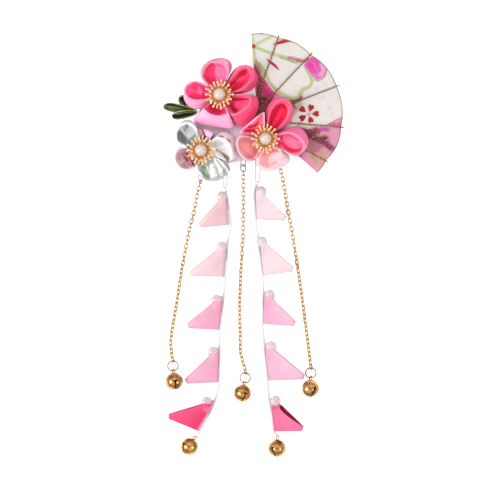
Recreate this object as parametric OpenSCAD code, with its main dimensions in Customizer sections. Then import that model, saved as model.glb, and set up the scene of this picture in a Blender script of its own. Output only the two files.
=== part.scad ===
// Flower hairpin with a cloth fan, three folded cloth flowers, three chains and two petal strands.
// It lies flat on its clip: X to the right, Y away from the strands, Z up, origin under the clip's middle.

/* [Fan] */
// Thickness of the cloth covered fan
fan_t = 2; // [1.6:0.1:2.2]
// Diameter of the gold cords that lie on the fan
fan_cord_d = 0.7; // [0.5:0.1:0.8]

/* [Flowers] */
// Height of a petal's rim above its base
petal_h = 7.6; // [6.5:0.1:8]
// Height of a petal's rim at its inner end
petal_inner_h = 2.6; // [2.2:0.1:3]
// Width of the rolled rim of a petal
petal_lip = 0.9; // [0.8:0.1:1.2]
// Radius round the flower's centre that the petals leave free
petal_root_r = 2.3; // [2.2:0.1:2.6]

/* [Stamens and pearls] */
// Diameter of the pearls
pearl_d = 5.6; // [5.2:0.1:6.2]
// Radius to the stamens' ball tips
stamen_r = 6.2; // [5.8:0.1:6.6]
// Number of stamens round each pearl
stamen_count = 18; // [14:1:20]

/* [Leaves] */
// Height of the satin leaf loops
leaf_h = 2.6; // [2.2:0.1:2.7]

/* [Chains] */
// Distance from one chain link to the next
link_pitch = 1.95; // [1.9:0.01:2]
// Diameter of the links' wire
link_wire = 0.38; // [0.34:0.01:0.4]
// Outer width of a link
link_w = 2.1; // [2:0.05:2.3]
// Radius of the jump rings' centre line
jump_r = 2.4; // [2.3:0.05:2.5]
// Diameter of the jump rings' wire
jump_wire = 0.44; // [0.4:0.01:0.46]

/* [Bells] */
// Diameter of the bells
bell_d = 8.2; // [7.8:0.1:8.4]
// Thickness of the bells' shell
bell_wall = 0.4; // [0.35:0.05:0.5]

/* [Strands] */
// Diameter of the strands' white cord
strand_d = 0.8; // [0.6:0.05:0.8]
// Height of a strand petal at its open rim
strand_petal_rim = 5.2; // [4.6:0.1:5.6]
// Height of a strand petal at the edge on the cord
strand_petal_base = 2; // [1.8:0.1:2.2]
// Thickness of the strand petals' cloth
strand_wall = 0.9; // [0.8:0.05:1]
// Diameter of the clear beads
bead_d = 5; // [4.6:0.1:5.2]

/* [Backing and clip] */
// Length of the clip
clip_l = 46; // [40:1:46]
// Width of the clip
clip_w = 8; // [7:0.5:8]
// Height of the clip
clip_h = 6; // [6:0.1:6.2]
// Thickness of the clip's metal
clip_t = 0.8; // [0.7:0.05:0.8]
// Thickness of the backing plate
plate_t = 1.2; // [1:0.1:1.4]

/* [Hidden] */
names = ["a", "b", "c"];
chains = ["left", "centre", "right"];
sides = ["left", "right"];
$fn = 32;

// Heights of the stacked layers
seat_gap = 0.1;
plate_z = clip_h + seat_gap;
plate_top = plate_z + plate_t;
fan_z = plate_top + seat_gap;
fan_top = fan_z + fan_t;
high_z = fan_top + fan_cord_d + 2 * seat_gap;
low_z = 8.6;

// Flower centres and the height of their petals' bases
F_X = 0;
F_Y = 1;
F_Z = 2;
F_COLOUR = 3;
flowers = [
    // x, y, z, colour
    [-6.7, 18.3, high_z, "hotpink"],
    [14.4, -2, high_z, "pink"],
    [-15.2, -7.2, low_z, "lavenderblush"]];

// Petals in polar form round their flower's centre: angles in degrees, radii in mm.
// The base spans from_a to to_a and reaches r_from, r_mid and r_to; the mouth is the opening inside the rim.
P_FROM = 0;
P_TO = 1;
P_R_FROM = 2;
P_R_MID = 3;
P_R_TO = 4;
P_M_FROM = 5;
P_M_TO = 6;
P_MR_FROM = 7;
P_MR_MID = 8;
P_MR_TO = 9;
P_FULL = 10;
P_PLEAT = 11;
petals = [[
    // from, to, r_from, r_mid, r_to, mouth from, to, r_from, r_mid, r_to, fullness, pleat
    [64, 139, 17.2, 16.8, 14.8, 68, 135, 14.6, 15.4, 13.6, 3.6, 0],
    [4, 62, 17.4, 19.9, 17.8, 12, 51, 12.8, 16.6, 17.2, 3.6, 0],
    [-60, 2, 19.2, 19.2, 18.6, -58, -3, 12, 12.9, 13.4, 4, 0],
    [-138, -63, 16.6, 14.8, 16.2, -136, -65, 9.6, 9.8, 9.2, 5.5, 0],
    [142, 220, 13.8, 16.5, 13.9, 147, 197, 12.6, 15.6, 13, 3.2, 0]], [
    [30, 89, 17.2, 21, 19.2, 42, 80, 16.2, 19.4, 16.4, 2.8, 0],
    [-31, 27, 18.6, 19.8, 17.4, -30, 17, 16.9, 17.2, 12.8, 3.4, 0],
    [-111, -33, 14.6, 14.9, 15.8, -107, -40, 12.9, 13.2, 11.2, 3.4, 0],
    [171, 246, 13.7, 14, 13.2, 174, 242, 12.9, 13.1, 12.2, 3.2, 0],
    [92, 167, 11.2, 9.6, 11.2, 95, 164, 10.8, 9.4, 10.8, 7, 0]], [
    [99, 165, 15.4, 15.8, 12.9, 103, 163, 12.6, 14.1, 11.6, 3.2, 0],
    [170, 252, 12.3, 13, 11.4, 173, 249, 11.2, 12.2, 10.4, 3.2, 0],
    [255, 334, 12.8, 15.2, 17, 259, 331, 10.8, 12.6, 13.2, 3.2, 0.3],
    [-23, 47, 16.5, 16.9, 15.2, -22, 38, 13.8, 13.2, 10.9, 3.7, 0],
    [50, 96, 10.3, 10, 10.6, 54, 92, 8.8, 8.6, 8.8, 5, 0.25]]];

// Rings of a petal from its base up the outside, over the rim and down to the floor inside.
// mix goes from the base, 0, to the mouth, 1; inset is inward in mm; rise is a part of the rim's height
petal_rings = [[0, 0, 0], [0.55, -0.2, 0.62], [1, -petal_lip, 0.9], [1, -petal_lip / 2, 1], [1, 0, 0.94],
    [1, 0.9, 0.52], [1, 2.1, 0.2]];
petal_sides = 20;
petal_shoulder = 0.86;
petal_rise_curve = 0.75;
mouth_root_step = 1.2;
least_reach = 0.5;
least_turn = 2;
pleat_count = 7;
pleat_fade = 0.4;

// Leaves: tip, root and width of each satin loop; all three start under the first flower
leaves = [
    // tip x, tip y, root x, root y, width
    [-25.4, 17.6, -19.8, 13.2, 3],
    [-32.6, 13.2, -17.2, 11.1, 3.2],
    [-28.6, 8.5, -17.6, 9.3, 2.9]];

// Fan: the outline is stated round the apex in bays, each from one cord's rim point to the next
fan_apex = [10.4, 6.9];
fan_edge = 0.45;
fan_side_run = 12;
fan_nose = [[0.3, -0.6], [-0.1, 0.8]];
bay_steps = 6;
fan_rim = [
    // angle at the apex, radius, how far the next bay's middle lies inside a smooth arc
    [94.4, 40.2, -0.6],
    [75.2, 39.6, -0.7],
    [50.4, 39.6, -0.7],
    [22.8, 40.5, -0.5],
    [-4.9, 39.5, -0.9],
    [-30.6, 37.5, -0.3],
    [-42, 37.5, 0]];
fan_cord_root = [7.1, 7.1];
fan_cord_start = 5.5;

// Bells: centre, and the direction from the bell to what holds it; roll turns the slit round that direction
bell_pitch = 20;
bell_z = bell_d / 2;
loop_r = 1;
loop_wire = 0.56;
loop_x = bell_d / 2 + 0.85;
loop_roll = 35;
B_YAW = 2;
B_ROLL = 3;
chain_bells = [
    // x, y, yaw, roll
    [-27.6, -113.4, 95, 12],
    [3.9, -118.9, 80, 21],
    [35.2, -116.7, 88, 29]];
strand_bells = [
    [-20.6, -143.5, 58, 128],
    [19.8, -144.3, 87, -33]];

// Chains: the top ring's centre and radius, and the points that the chain passes on its way down
C_TOP = 0;
C_RING_R = 1;
C_VIA = 2;
top_ring_wire = 0.4;
top_ring_roll = 45;
rest_z = link_w / 2 + 0.03;
link_gap = 0.16;
catch_gap = 0.2;
chain_rows = [
    [[-15.6, -21.4, 4.4], 0.95,
     [[-17.1, -27.5, 1.7], [-18.6, -35.1, rest_z], [-20.9, -44.3, rest_z], [-24.2, -61.6, rest_z],
      [-25.9, -73.6, rest_z], [-28.9, -91.3, rest_z], [-29.4, -96, rest_z]]],
    [[4.2, -15.2, 4.4], 1.7,
     [[4.3, -25, 1.7], [4.3, -31, rest_z], [4.1, -46.9, rest_z], [3, -64.9, rest_z],
      [2.6, -75.4, rest_z], [2.7, -87.4, rest_z], [2.9, -100.3, rest_z]]],
    [[21, -13.4, 4.4], 0.95,
     [[22.8, -21.5, 1.7], [24.2, -30, rest_z], [27.6, -49.7, rest_z], [29.3, -60.3, rest_z],
      [31.4, -74.8, rest_z], [34.1, -95.5, rest_z], [34.6, -99.5, rest_z]]]];

// Hangers: where each thread loop goes under the plate, the point that it holds, and its half widths
hanger_wire = 0.4;
hanger_z = plate_z - hanger_wire / 2 - seat_gap;
H_EDGE = 0;
H_HOLD = 1;
H_TOP_W = 2;
H_HOLD_W = 3;
hangers = [
    [[-15.4, -15.4], [-15.5, -21.1, 4.6], 1.1, 0.85],
    [[4.2, -10.6], [4.2, -14.3, 4.6], 1.1, 1.05],
    [[20.2, -9], [20.9, -13.1, 4.6], 1.1, 0.85],
    [[-4.4, -12.6], [-4.1, -24.6, 1.3], 1.7, 0.5],
    [[11.2, -11.6], [10.7, -21.8, 1.3], 1.2, 0.8]];

// Routes of the two white cords, from under their hanger to the bell
rest = strand_d / 2 + 0.06;
strand_routes = [[
    [-3.8, -25.4, 1.2], [-3, -29.5, 0.6], [-2.2, -34.5, rest], [-1.5, -39.8, rest], [-1.9, -44.2, rest],
    [-2.8, -48.3, rest], [-3.2, -55.2, rest], [-3.6, -60.7, rest], [-4.2, -66.2, rest], [-4.7, -73.6, rest],
    [-5.2, -78.7, rest], [-5.7, -84.2, rest], [-6.4, -88.3, rest], [-6.8, -92, rest], [-6.7, -97.1, rest],
    [-6.7, -102.6, rest], [-6.7, -108.6, rest], [-6.9, -114.5, rest], [-8.2, -120.7, rest],
    [-10.1, -125.6, rest], [-12.2, -130.6, rest], [-14.4, -134.6, rest], [-16.1, -137, 0.9],
    [-17, -137.9, 1.6]], [
    [10.3, -22.6, 1.2], [9.4, -26.2, 0.7], [9.4, -30.8, rest], [9.6, -35.4, rest], [10, -40, rest],
    [10.7, -44.2, rest], [11.1, -48.3, rest], [11.6, -52.9, rest], [12.2, -58.4, rest], [12.9, -64.4, rest],
    [13.4, -68.5, rest], [13.4, -72.7, rest], [13.2, -78.2, rest], [13, -83.7, rest], [13.1, -88.3, rest],
    [13.6, -92.5, rest], [13.8, -96.6, rest], [14.2, -102.1, rest], [14.8, -107.6, rest],
    [15.4, -113.2, rest], [15.9, -118.2, rest], [16.2, -122.8, rest], [17, -127.4, rest],
    [17.7, -132.5, rest], [18.2, -136.6, 0.6], [18.9, -138, 1], [19.9, -137.9, 1.6]]];
cord_sides = 8;
ring_step = 2.4;

// Strand petals: top and bottom of the edge on the cord, the outer corner, and how far the rim opens upward
S_TOP = 0;
S_BOTTOM = 1;
S_OUT = 2;
S_OPEN = 3;
S_COLOUR = 4;
strand_corner = 1.1;
strand_rows = [[
    [[-4.4, -26.6], [-2.6, -41.6], [-16.1, -41.6], 0.3, "mistyrose"],
    [[-3.9, -49], [-5.1, -65.5], [-20.4, -64.1], 0.3, "mistyrose"],
    [[-5.8, -73.8], [-7.3, -90], [-21.4, -88.1], 0.3, "pink"],
    [[-7.5, -97.6], [-7.7, -114.3], [-22.2, -113.7], 0.3, "lightpink"],
    [[-9.8, -122], [-17.6, -136.6], [-30.3, -129.8], 0.5, "deeppink"]], [
    [[10.4, -24], [10.8, -39], [23.7, -38.6], 0.3, "mistyrose"],
    [[12.1, -47.1], [13.9, -64.8], [27.1, -62], 0.6, "mistyrose"],
    [[14.3, -71.8], [14.1, -87.4], [28.1, -87.1], 0.4, "pink"],
    [[14.8, -95.4], [16.3, -113.4], [32.2, -111.6], 0.7, "lightpink"],
    [[17.7, -124.1], [18.9, -136.8], [31.8, -135.6], 2.9, "deeppink"]]];
// level goes from the cord edge, 0, to the rim, 1; inner rings are inset by the cloth's thickness
strand_rings = [[0, 0], [0.45, 0], [0.86, 0], [1, 0], [1.005, 1], [0.6, 1], [0.28, 1]];
strand_sides = 14;
strand_full = 2.6;
strand_turn = 0.86;
strand_bead_step = 0.2;
strand_top_wall = 1.8;
strand_arch = 0.6;

// Beads: a clear ball at each strand petal's point, under a hood of the petal's cloth that covers its inner half
bead_floor = 0.8;
bead_seat_r = bead_d / 2 + seat_gap;
strand_beads = [
    [[-5.7, -28.2], [-5.8, -51.3], [-8.3, -75.7], [-9.8, -99.8], [-12.7, -122.9]],
    [[12.5, -25.9], [12.9, -49], [16.6, -73.6], [17.3, -97.3], [19.2, -122.4]]];

// Closed skin over rings of equal numbers of points, with a fan of faces at each end
function mean(v) = [for (k = [0:len(v[0]) - 1]) [for (p = v) p[k]] * [for (p = v) 1] / len(v)];
function skin_points(rings) = concat([for (r = rings) each r], [mean(rings[0]), mean(rings[len(rings) - 1])]);
function skin_faces(count, n) = concat(
    [for (k = [0:count - 2]) for (i = [0:n - 1])
        each [[k * n + i, (k + 1) * n + i, k * n + (i + 1) % n],
              [k * n + (i + 1) % n, (k + 1) * n + i, (k + 1) * n + (i + 1) % n]]],
    [for (i = [0:n - 1]) [count * n, i, (i + 1) % n]],
    [for (i = [0:n - 1]) [count * n + 1, (count - 1) * n + (i + 1) % n, (count - 1) * n + i]]);
module skin(rings) {
    polyhedron(skin_points(rings), skin_faces(len(rings), len(rings[0])), convexity = 6);
}

// A signed power, which makes a circle's sine and cosine fuller
function full(x, n) = sign(x) * pow(abs(x), 2 / n);
function mix(a, b, f) = a + (b - a) * f;
// Radius across a petal, x from -1 to 1, through three stated radii at -0.75, 0 and 0.75
function reach(x, r_from, r_mid, r_to, shoulder) =
    let (q = x / 0.75, a = r_mid + (r_from - r_mid) / shoulder, b = r_mid + (r_to - r_mid) / shoulder)
    r_mid + (b - a) / 2 * q + ((a + b) / 2 - r_mid) * q * q;

// One point of a cup petal: p is its row, t the angle round it and ring the row of its ring
function cup_point(p, f, t, ring) =
    let (
        n = p[P_FULL], s = full(sin(t), n), c = full(cos(t), n), out = (1 + c) / 2,
        from = mix(p[P_FROM], p[P_M_FROM], ring[0]), to = mix(p[P_TO], p[P_M_TO], ring[0]),
        r_out = reach(s, mix(p[P_R_FROM], p[P_MR_FROM], ring[0]), mix(p[P_R_MID], p[P_MR_MID], ring[0]),
            mix(p[P_R_TO], p[P_MR_TO], ring[0]), petal_shoulder) - ring[1],
        root = petal_root_r + mouth_root_step * ring[0] + ring[1],
        r = mix(root, max(r_out, root + least_reach), out),
        half_turn = (to - from) / 2,
        pinch = ring[1] / ((petal_root_r + 2 * p[P_MR_MID]) / 3) * 180 / PI,
        a = min(max((from + to) / 2 + s * max(half_turn - pinch, least_turn), p[P_FROM]), p[P_TO]),
        ripple = p[P_PLEAT] * (1 - ring[0] * pleat_fade) * cos(t * pleat_count) * out,
        rise = mix(petal_inner_h, petal_h, pow(out, petal_rise_curve)) * ring[2])
    [f[F_X] + (r + ripple) * cos(a), f[F_Y] + (r + ripple) * sin(a), f[F_Z] + rise];

module flower_petal(flower, index) {
    p = petals[flower][index];
    color(flowers[flower][F_COLOUR])
        skin([for (ring = petal_rings)
            [for (i = [0:petal_sides - 1]) cup_point(p, flowers[flower], i * 360 / petal_sides, ring)]]);
}

// A satin leaf is a narrow loop with a slit along its top; its root is narrower than its tip
leaf_sides = 16;
leaf_full = 2.4;
leaf_root_w = 0.55;
leaf_rings = [[0, 0.25, 0], [0, 0, 0.3], [0, 0.15, 0.85], [0, 0.5, 1], [0, 0.95, 0.8], [0, 1.15, 0.42]];
module leaf(index) {
    row = leaves[index];
    root = [row[2], row[3]];
    run = [row[0], row[1]] - root;
    length = norm(run);
    way = run / length;
    side = [-way[1], way[0]];
    color("darkgreen")
        skin([for (ring = leaf_rings) [for (i = [0:leaf_sides - 1])
            let (t = i * 360 / leaf_sides, u = length / 2 + (length / 2 - ring[1]) * full(cos(t), leaf_full),
                v = (row[4] / 2 - ring[1]) * full(sin(t), leaf_full) * mix(leaf_root_w, 1, u / length),
                q = root + way * u + side * v)
            [q[0], q[1], plate_top + seat_gap + leaf_h * ring[2]]]]);
}

// Points of the fan's outline: the rim's bays, then the rounded apex
function bay_radius(i, f) = mix(fan_rim[i][1], fan_rim[i + 1][1], f) - fan_rim[i][2] * 4 * f * (1 - f);
function fan_at(i, r) = fan_apex + r * [cos(fan_rim[i][0]), sin(fan_rim[i][0])];
fan_outline = concat(
    [for (i = [0:len(fan_rim) - 2]) for (k = [0:bay_steps - 1])
        let (f = k / bay_steps, a = mix(fan_rim[i][0], fan_rim[i + 1][0], f))
        fan_apex + bay_radius(i, f) * [cos(a), sin(a)]],
    [fan_at(6, fan_rim[6][1]), fan_at(6, fan_side_run), fan_apex + fan_nose[0], fan_apex + fan_nose[1],
     fan_at(0, fan_side_run)]);
function unit(v) = v / norm(v);
function inward(v, i, d) =
    let (n = len(v), e = unit(unit(v[(i + 1) % n] - v[i]) + unit(v[i] - v[(i + n - 1) % n])))
    v[i] + d * [e[1], -e[0]];
module fan_panel() {
    levels = [[fan_edge, 0], [0, fan_edge], [0, fan_t - fan_edge], [fan_edge, fan_t]];
    color("seashell")
        skin([for (l = levels) [for (i = [len(fan_outline) - 1:-1:0])
            let (q = inward(fan_outline, i, l[0])) [q[0], q[1], fan_z + l[1]]]]);
}

// A round rod from one point to another
module rod(a, b, d) {
    v = b - a;
    translate(a)
        rotate([0, acos(v[2] / norm(v)), atan2(v[1], v[0])])
            cylinder(h = norm(v), d = d);
}

// A tube along points; across is the direction that its first corner points to, if it isn't worked out
function turn(points, i) =
    let (n = len(points), a = points[max(i - 1, 0)], b = points[min(i + 1, n - 1)])
    unit(b - a);
function tube_rings(points, d, sides, across = undef) = [for (i = [0:len(points) - 1])
    let (w = turn(points, i), u = across == undef ? unit(cross([0, 0, 1], w)) : across, v = cross(w, u))
    [for (k = [0:sides - 1]) points[i] + d / 2 * (cos(k * 360 / sides) * v - sin(k * 360 / sides) * u)]];

// A gold cord over the fan's face, down over its rim and back under it
fan_cord_bend = 0.35;
fan_cord_back = 2;
module fan_cord(index) {
    tip = fan_at(index + 1, fan_rim[index + 1][1] + seat_gap + fan_cord_d / 2);
    way = unit(tip - fan_cord_root);
    start = fan_cord_root + way * fan_cord_start;
    top = fan_top + seat_gap + fan_cord_d / 2;
    low = fan_z - seat_gap - fan_cord_d / 2;
    path = [for (row = [
        // distance from the tip along the cord, height
        [norm(tip - start), top], [fan_cord_bend, top], [0, top - fan_cord_bend], [0, low + fan_cord_bend],
        [fan_cord_bend, low], [fan_cord_back, low]])
        [tip[0] - way[0] * row[0], tip[1] - way[1] * row[0], row[1]]];
    color("goldenrod")
        skin(tube_rings(path, fan_cord_d, cord_sides, [-way[1], way[0], 0]));
}

// Stamens: a stem, a disc with a dish for the pearl, and wires with ball tips
stem_clearance = 0.3;
disc_r = 4.4;
disc_z = 4.6;
disc_t = 0.9;
stamen_root_r = 3.6;
stamen_lift = 1.5;
stamen_stagger = [0.5, 0.4];
stamen_wire = 0.45;
stamen_ball = 1;
pearl_sink = 0.2;
pearl_z = disc_z + disc_t + pearl_d / 2 - pearl_sink;
module stamens(index) {
    f = flowers[index];
    color("gold")
        translate([f[F_X], f[F_Y], f[F_Z]])
            difference() {
                union() {
                    translate([0, 0, seat_gap]) cylinder(r = petal_root_r - stem_clearance, h = disc_z);
                    translate([0, 0, disc_z]) cylinder(r = disc_r, h = disc_t);
                    for (i = [0:stamen_count - 1]) {
                        a = i * 360 / stamen_count;
                        tip_r = stamen_r - stamen_stagger[0] * (i % 2);
                        tip = [tip_r * cos(a), tip_r * sin(a),
                            disc_z + stamen_lift + stamen_stagger[1] * (i % 2)];
                        rod([stamen_root_r * cos(a), stamen_root_r * sin(a), disc_z + disc_t / 2], tip,
                            stamen_wire);
                        translate(tip) sphere(d = stamen_ball);
                    }
                }
                translate([0, 0, pearl_z]) sphere(d = pearl_d + 2 * seat_gap);
            }
}
module pearl(index) {
    f = flowers[index];
    color("ivory")
        translate([f[F_X], f[F_Y], f[F_Z] + pearl_z])
            sphere(d = pearl_d);
}

// Backing: a plate under the three flowers with a pad below each
plate_corners = [
    // x, y round the three flowers
    [-10.5, 25.5], [-2.5, 25.5], [21.5, 1], [21, -7.6], [16, -9.6], [-12, -14.6], [-19.6, -13.4], [-22, -5]];
pad_r = 7;
slim_pad_r = 3;
module backing() {
    color("linen") {
        translate([0, 0, plate_z]) linear_extrude(plate_t) polygon(plate_corners);
        for (i = [0:2])
            translate([flowers[i][F_X], flowers[i][F_Y], plate_z + plate_t / 2])
                cylinder(r = i == 1 ? slim_pad_r : pad_r,
                    h = flowers[i][F_Z] - seat_gap - plate_z - plate_t / 2);
    }
}

// Clip: one flat strip bent into a U that opens towards -X
module clip() {
    bend_r = clip_h / 2;
    run = clip_l - bend_r;
    color("silver")
        translate([clip_l / 2 - bend_r, 0, bend_r]) {
            rotate([90, 0, 0])
                translate([0, 0, -clip_w / 2])
                    linear_extrude(clip_w)
                        difference() {
                            circle(r = bend_r);
                            circle(r = bend_r - clip_t);
                            translate([-2 * bend_r, -bend_r * 2]) square([2 * bend_r, bend_r * 4]);
                        }
            for (z = [-bend_r, bend_r - clip_t])
                translate([-run, -clip_w / 2, z]) cube([run, clip_w, clip_t]);
        }
}

// A hanger is a U of white thread: both legs lie under the plate and its round end holds a ring or a cord
hanger_steps = 6;
hanger_reach = 4;
module hanger(index) {
    h = hangers[index];
    edge = [h[H_EDGE][0], h[H_EDGE][1], hanger_z];
    hold = h[H_HOLD];
    run = unit([hold[0] - edge[0], hold[1] - edge[1], 0]);
    side = [-run[1], run[0], 0];
    bend = hold - run * h[H_HOLD_W];
    leg = [edge - run * hanger_reach + side * h[H_TOP_W], edge + side * h[H_TOP_W],
        mix(edge, bend, 0.5) + side * mix(h[H_TOP_W], h[H_HOLD_W], 0.5)];
    other = [for (k = [2:-1:0]) leg[k] - 2 * side * (leg[k] - (k == 2 ? mix(edge, bend, 0.5) : edge)) * side];
    arc = [for (k = [0:hanger_steps])
        let (a = 90 - k * 180 / hanger_steps) bend + h[H_HOLD_W] * (cos(a) * run + sin(a) * side)];
    color("white")
        skin(tube_rings(concat(leg, arc, other), hanger_wire, 6));
}

// Chain links are stadium rings: two half rings and two straight stretches, long axis along X
module link(length, width, wire) {
    r = (width - wire) / 2;
    straight = length - width;
    for (side = [0, 180])
        rotate([0, 0, side]) {
            translate([straight / 2, 0, 0])
                rotate([0, 0, -90])
                    rotate_extrude(angle = 180) translate([r, 0]) circle(d = wire);
            translate([-straight / 2, r, 0])
                rotate([0, 90, 0]) cylinder(h = straight, d = wire);
        }
}
module ring(r, wire) {
    rotate_extrude() translate([r, 0]) circle(d = wire);
}
module aim(at, way, roll) {
    translate(at)
        rotate([roll, -asin(way[2] / norm(way)), atan2(way[1], way[0])])
            children();
}

// Lengths along a route, and the point at a stated length
function lengths(v, i = 0, sum = 0) =
    i == len(v) - 1 ? [sum] : concat([sum], lengths(v, i + 1, sum + norm(v[i + 1] - v[i])));
function along(v, sums, s) =
    let (last = len(v) - 2, i = max([0, for (k = [0:last]) if (sums[k] <= s) k]))
    v[i] + (v[i + 1] - v[i]) * (s - sums[i]) / (sums[i + 1] - sums[i]);

// The unit vector from a bell to its holder, seen from above, and the places of its loop and jump ring
function bell_way(b) = [cos(b[B_YAW]), sin(b[B_YAW]), 0];
function bell_at(b) = [b[0], b[1], bell_z];
function loop_at(b) = bell_at(b) + loop_x * (cos(bell_pitch) * bell_way(b) - [0, 0, sin(bell_pitch)]);
jump_catch = 0.12;
function jump_near(b) = loop_at(b) + jump_catch * bell_way(b);
function jump_far(b) =
    let (drop = jump_near(b)[2] - rest_z)
    jump_near(b) + [0, 0, -drop] + sqrt(pow(2 * jump_r, 2) - drop * drop) * bell_way(b);

module chain(index) {
    row = chain_rows[index];
    top = row[C_TOP];
    b = chain_bells[index];
    link_l = link_pitch + 2 * link_wire + link_gap;
    hold = link_l / 2 - link_wire - catch_gap;
    far = jump_far(b);
    last_way = unit(row[C_VIA][len(row[C_VIA]) - 1] - far);
    first_way = unit(row[C_VIA][0] - top);
    first = top + (row[C_RING_R] + hold - top_ring_wire / 2) * first_way;
    end = far + (hold - jump_wire / 2) * last_way;
    route = concat([first], row[C_VIA], [end]);
    sums = lengths(route);
    total = sums[len(sums) - 1];
    count = round(total / link_pitch) + 1;
    step = total / (count - 1);
    twist = (180 + (90 - top_ring_roll - 90 * count) % 180) % 180;
    color("gold") {
        aim(top, first_way, top_ring_roll) ring(row[C_RING_R], top_ring_wire);
        for (i = [0:count - 1]) {
            s = i * step;
            way = along(route, sums, min(s + step / 2, total)) - along(route, sums, max(s - step / 2, 0));
            aim(along(route, sums, s), way, top_ring_roll + 90 * (i + 1) + twist * i / (count - 1))
                link(link_l, link_w, link_wire);
        }
        aim((jump_near(b) + far) / 2, far - jump_near(b), 0) ring(jump_r, jump_wire);
    }
}

// A bell is a hollow ball with a wire loop, a raised seam and a slit that flares into a triangle at both ends
slit_w = 0.6;
slit_half = 74;
flare_w = 1.8;
flare_to_slit = 1.3;
flare_to_end = 0.5;
seam_d = 0.4;
module bell(b) {
    r = bell_d / 2;
    color("goldenrod")
        translate(bell_at(b))
            rotate([0, bell_pitch, b[B_YAW]])
                union() {
                    rotate([b[B_ROLL], 0, 0])
                        difference() {
                            rotate([0, 90, 0])
                                rotate_extrude()
                                    difference() {
                                        union() {
                                            circle(r = r - seam_d / 4);
                                            translate([r - seam_d / 2, 0]) circle(d = seam_d);
                                        }
                                        circle(r = r - seam_d / 4 - bell_wall);
                                        translate([-2 * r, -2 * r]) square([2 * r, 4 * r]);
                                    }
                            translate([-r - 1, -slit_w / 2, -r * sin(slit_half)])
                                cube([r + 1 - r * cos(slit_half) / 2, slit_w, 2 * r * sin(slit_half)]);
                            for (side = [-1, 1])
                                rotate([0, side * slit_half - 90, 0])
                                    linear_extrude(r + 1)
                                        polygon([[-side * flare_to_slit, 0], [side * flare_to_end, flare_w / 2],
                                            [side * flare_to_end, -flare_w / 2]]);
                        }
                    rotate([loop_roll, 0, 0])
                        translate([loop_x, 0, 0])
                            rotate([90, 0, 0]) ring(loop_r, loop_wire);
                }
}

// The route of a cord, rounded through its points and cut at even steps
function bend(v, i, f) =
    let (n = len(v) - 1, a = v[max(i - 1, 0)], b = v[i], c = v[i + 1], d = v[min(i + 2, n)])
    b + 0.5 * f * (c - a + f * (2 * a - 5 * b + 4 * c - d + f * (3 * (b - c) + d - a)));
function smooth(v) = concat(
    [for (i = [0:len(v) - 2]) for (f = [0:0.25:0.75]) bend(v, i, f)], [v[len(v) - 1]]);
module strand_cord(index) {
    fine = smooth(strand_routes[index]);
    sums = lengths(fine);
    total = sums[len(sums) - 1];
    count = round(total / ring_step);
    color("white")
        skin(tube_rings([for (i = [0:count]) along(fine, sums, total * i / count)], strand_d, cord_sides));
}

// A strand petal lies on its side: a folded cup whose flat edge is on the cord and whose upper end rounds the bead
function strand_axis(p) = unit(p[S_OUT] - (p[S_TOP] + p[S_BOTTOM]) / 2);
function strand_down(p) =
    let (axis = strand_axis(p), square = [-axis[1], axis[0]])
    square * sign(square * (p[S_BOTTOM] - p[S_TOP]));
function strand_upper(p) = p[S_OUT] - strand_down(p) * strand_corner;
function strand_start(p, bead, level) =
    let (
        r = bead_seat_r + strand_bead_step, edge = unit(p[S_BOTTOM] - p[S_TOP]), off = bead - p[S_TOP],
        first = p[S_TOP] + edge * (off * edge + sqrt(pow(off * edge, 2) - off * off + r * r)))
    bead + r * unit(mix(unit(first - bead), unit(strand_upper(p) - p[S_TOP]), level));
function strand_point(p, bead, t, ring) =
    let (
        level = ring[0], inset = ring[1] * strand_wall, upper = strand_upper(p),
        lower = p[S_OUT] + strand_down(p) * strand_corner,
        end = level < strand_turn ? mix(p[S_BOTTOM], lower, level / strand_turn)
            : mix(lower, upper, (level - strand_turn) / (1 - strand_turn)),
        start = strand_start(p, bead, level), way = end - start,
        half = mix(strand_petal_base, strand_petal_rim, min(level, 1)) / 2,
        s = full(-cos(t), strand_full), side = full(sin(t), strand_full),
        q = (start + end) / 2 + unit(way) * s * (norm(way) / 2 - inset * (s < 0 ? strand_top_wall : 1))
            - strand_axis(p) * p[S_OPEN] * max(side, 0) * max(2 * level - 1, 0) * (1 - s * s * strand_arch))
    [q[0], q[1], seat_gap + half + side * (half - inset)];

// The hood: a patch of cloth round the bead, with polar angles from the rim's direction and round it
hood_inner = bead_seat_r + 0.18;
hood_outer = bead_seat_r + 0.85;
hood_from = 14;
hood_open = 24;
hood_least_top = 20;
hood_least_turn = 8;
hood_end = 0.35;
hood_runs = 8;
hood_turns = 4;
function hood_point(p, bead, r, u, f) =
    let (
        way = unit(strand_upper(p) - p[S_TOP]), edge = p[S_BOTTOM] - p[S_TOP], square = [-way[1], way[0]],
        side = square * sign(square * edge), from_top = (bead - p[S_TOP]) * way,
        last = acos(max((hood_end - from_top) / r, -0.95)), polar = mix(hood_from, last, u),
        room = (from_top + r * cos(polar)) * (edge * side) / (edge * way) - (bead - p[S_TOP]) * side,
        top = max(90 - hood_open * p[S_OPEN], hood_least_top),
        low = acos(min(max(room / (r * sin(polar)), 0), 1)), turn = mix(top, min(low, top - hood_least_turn), f),
        q = bead + r * (cos(polar) * way + sin(polar) * cos(turn) * side))
    [q[0], q[1], bead_floor + bead_seat_r + r * sin(polar) * sin(turn)];
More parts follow.
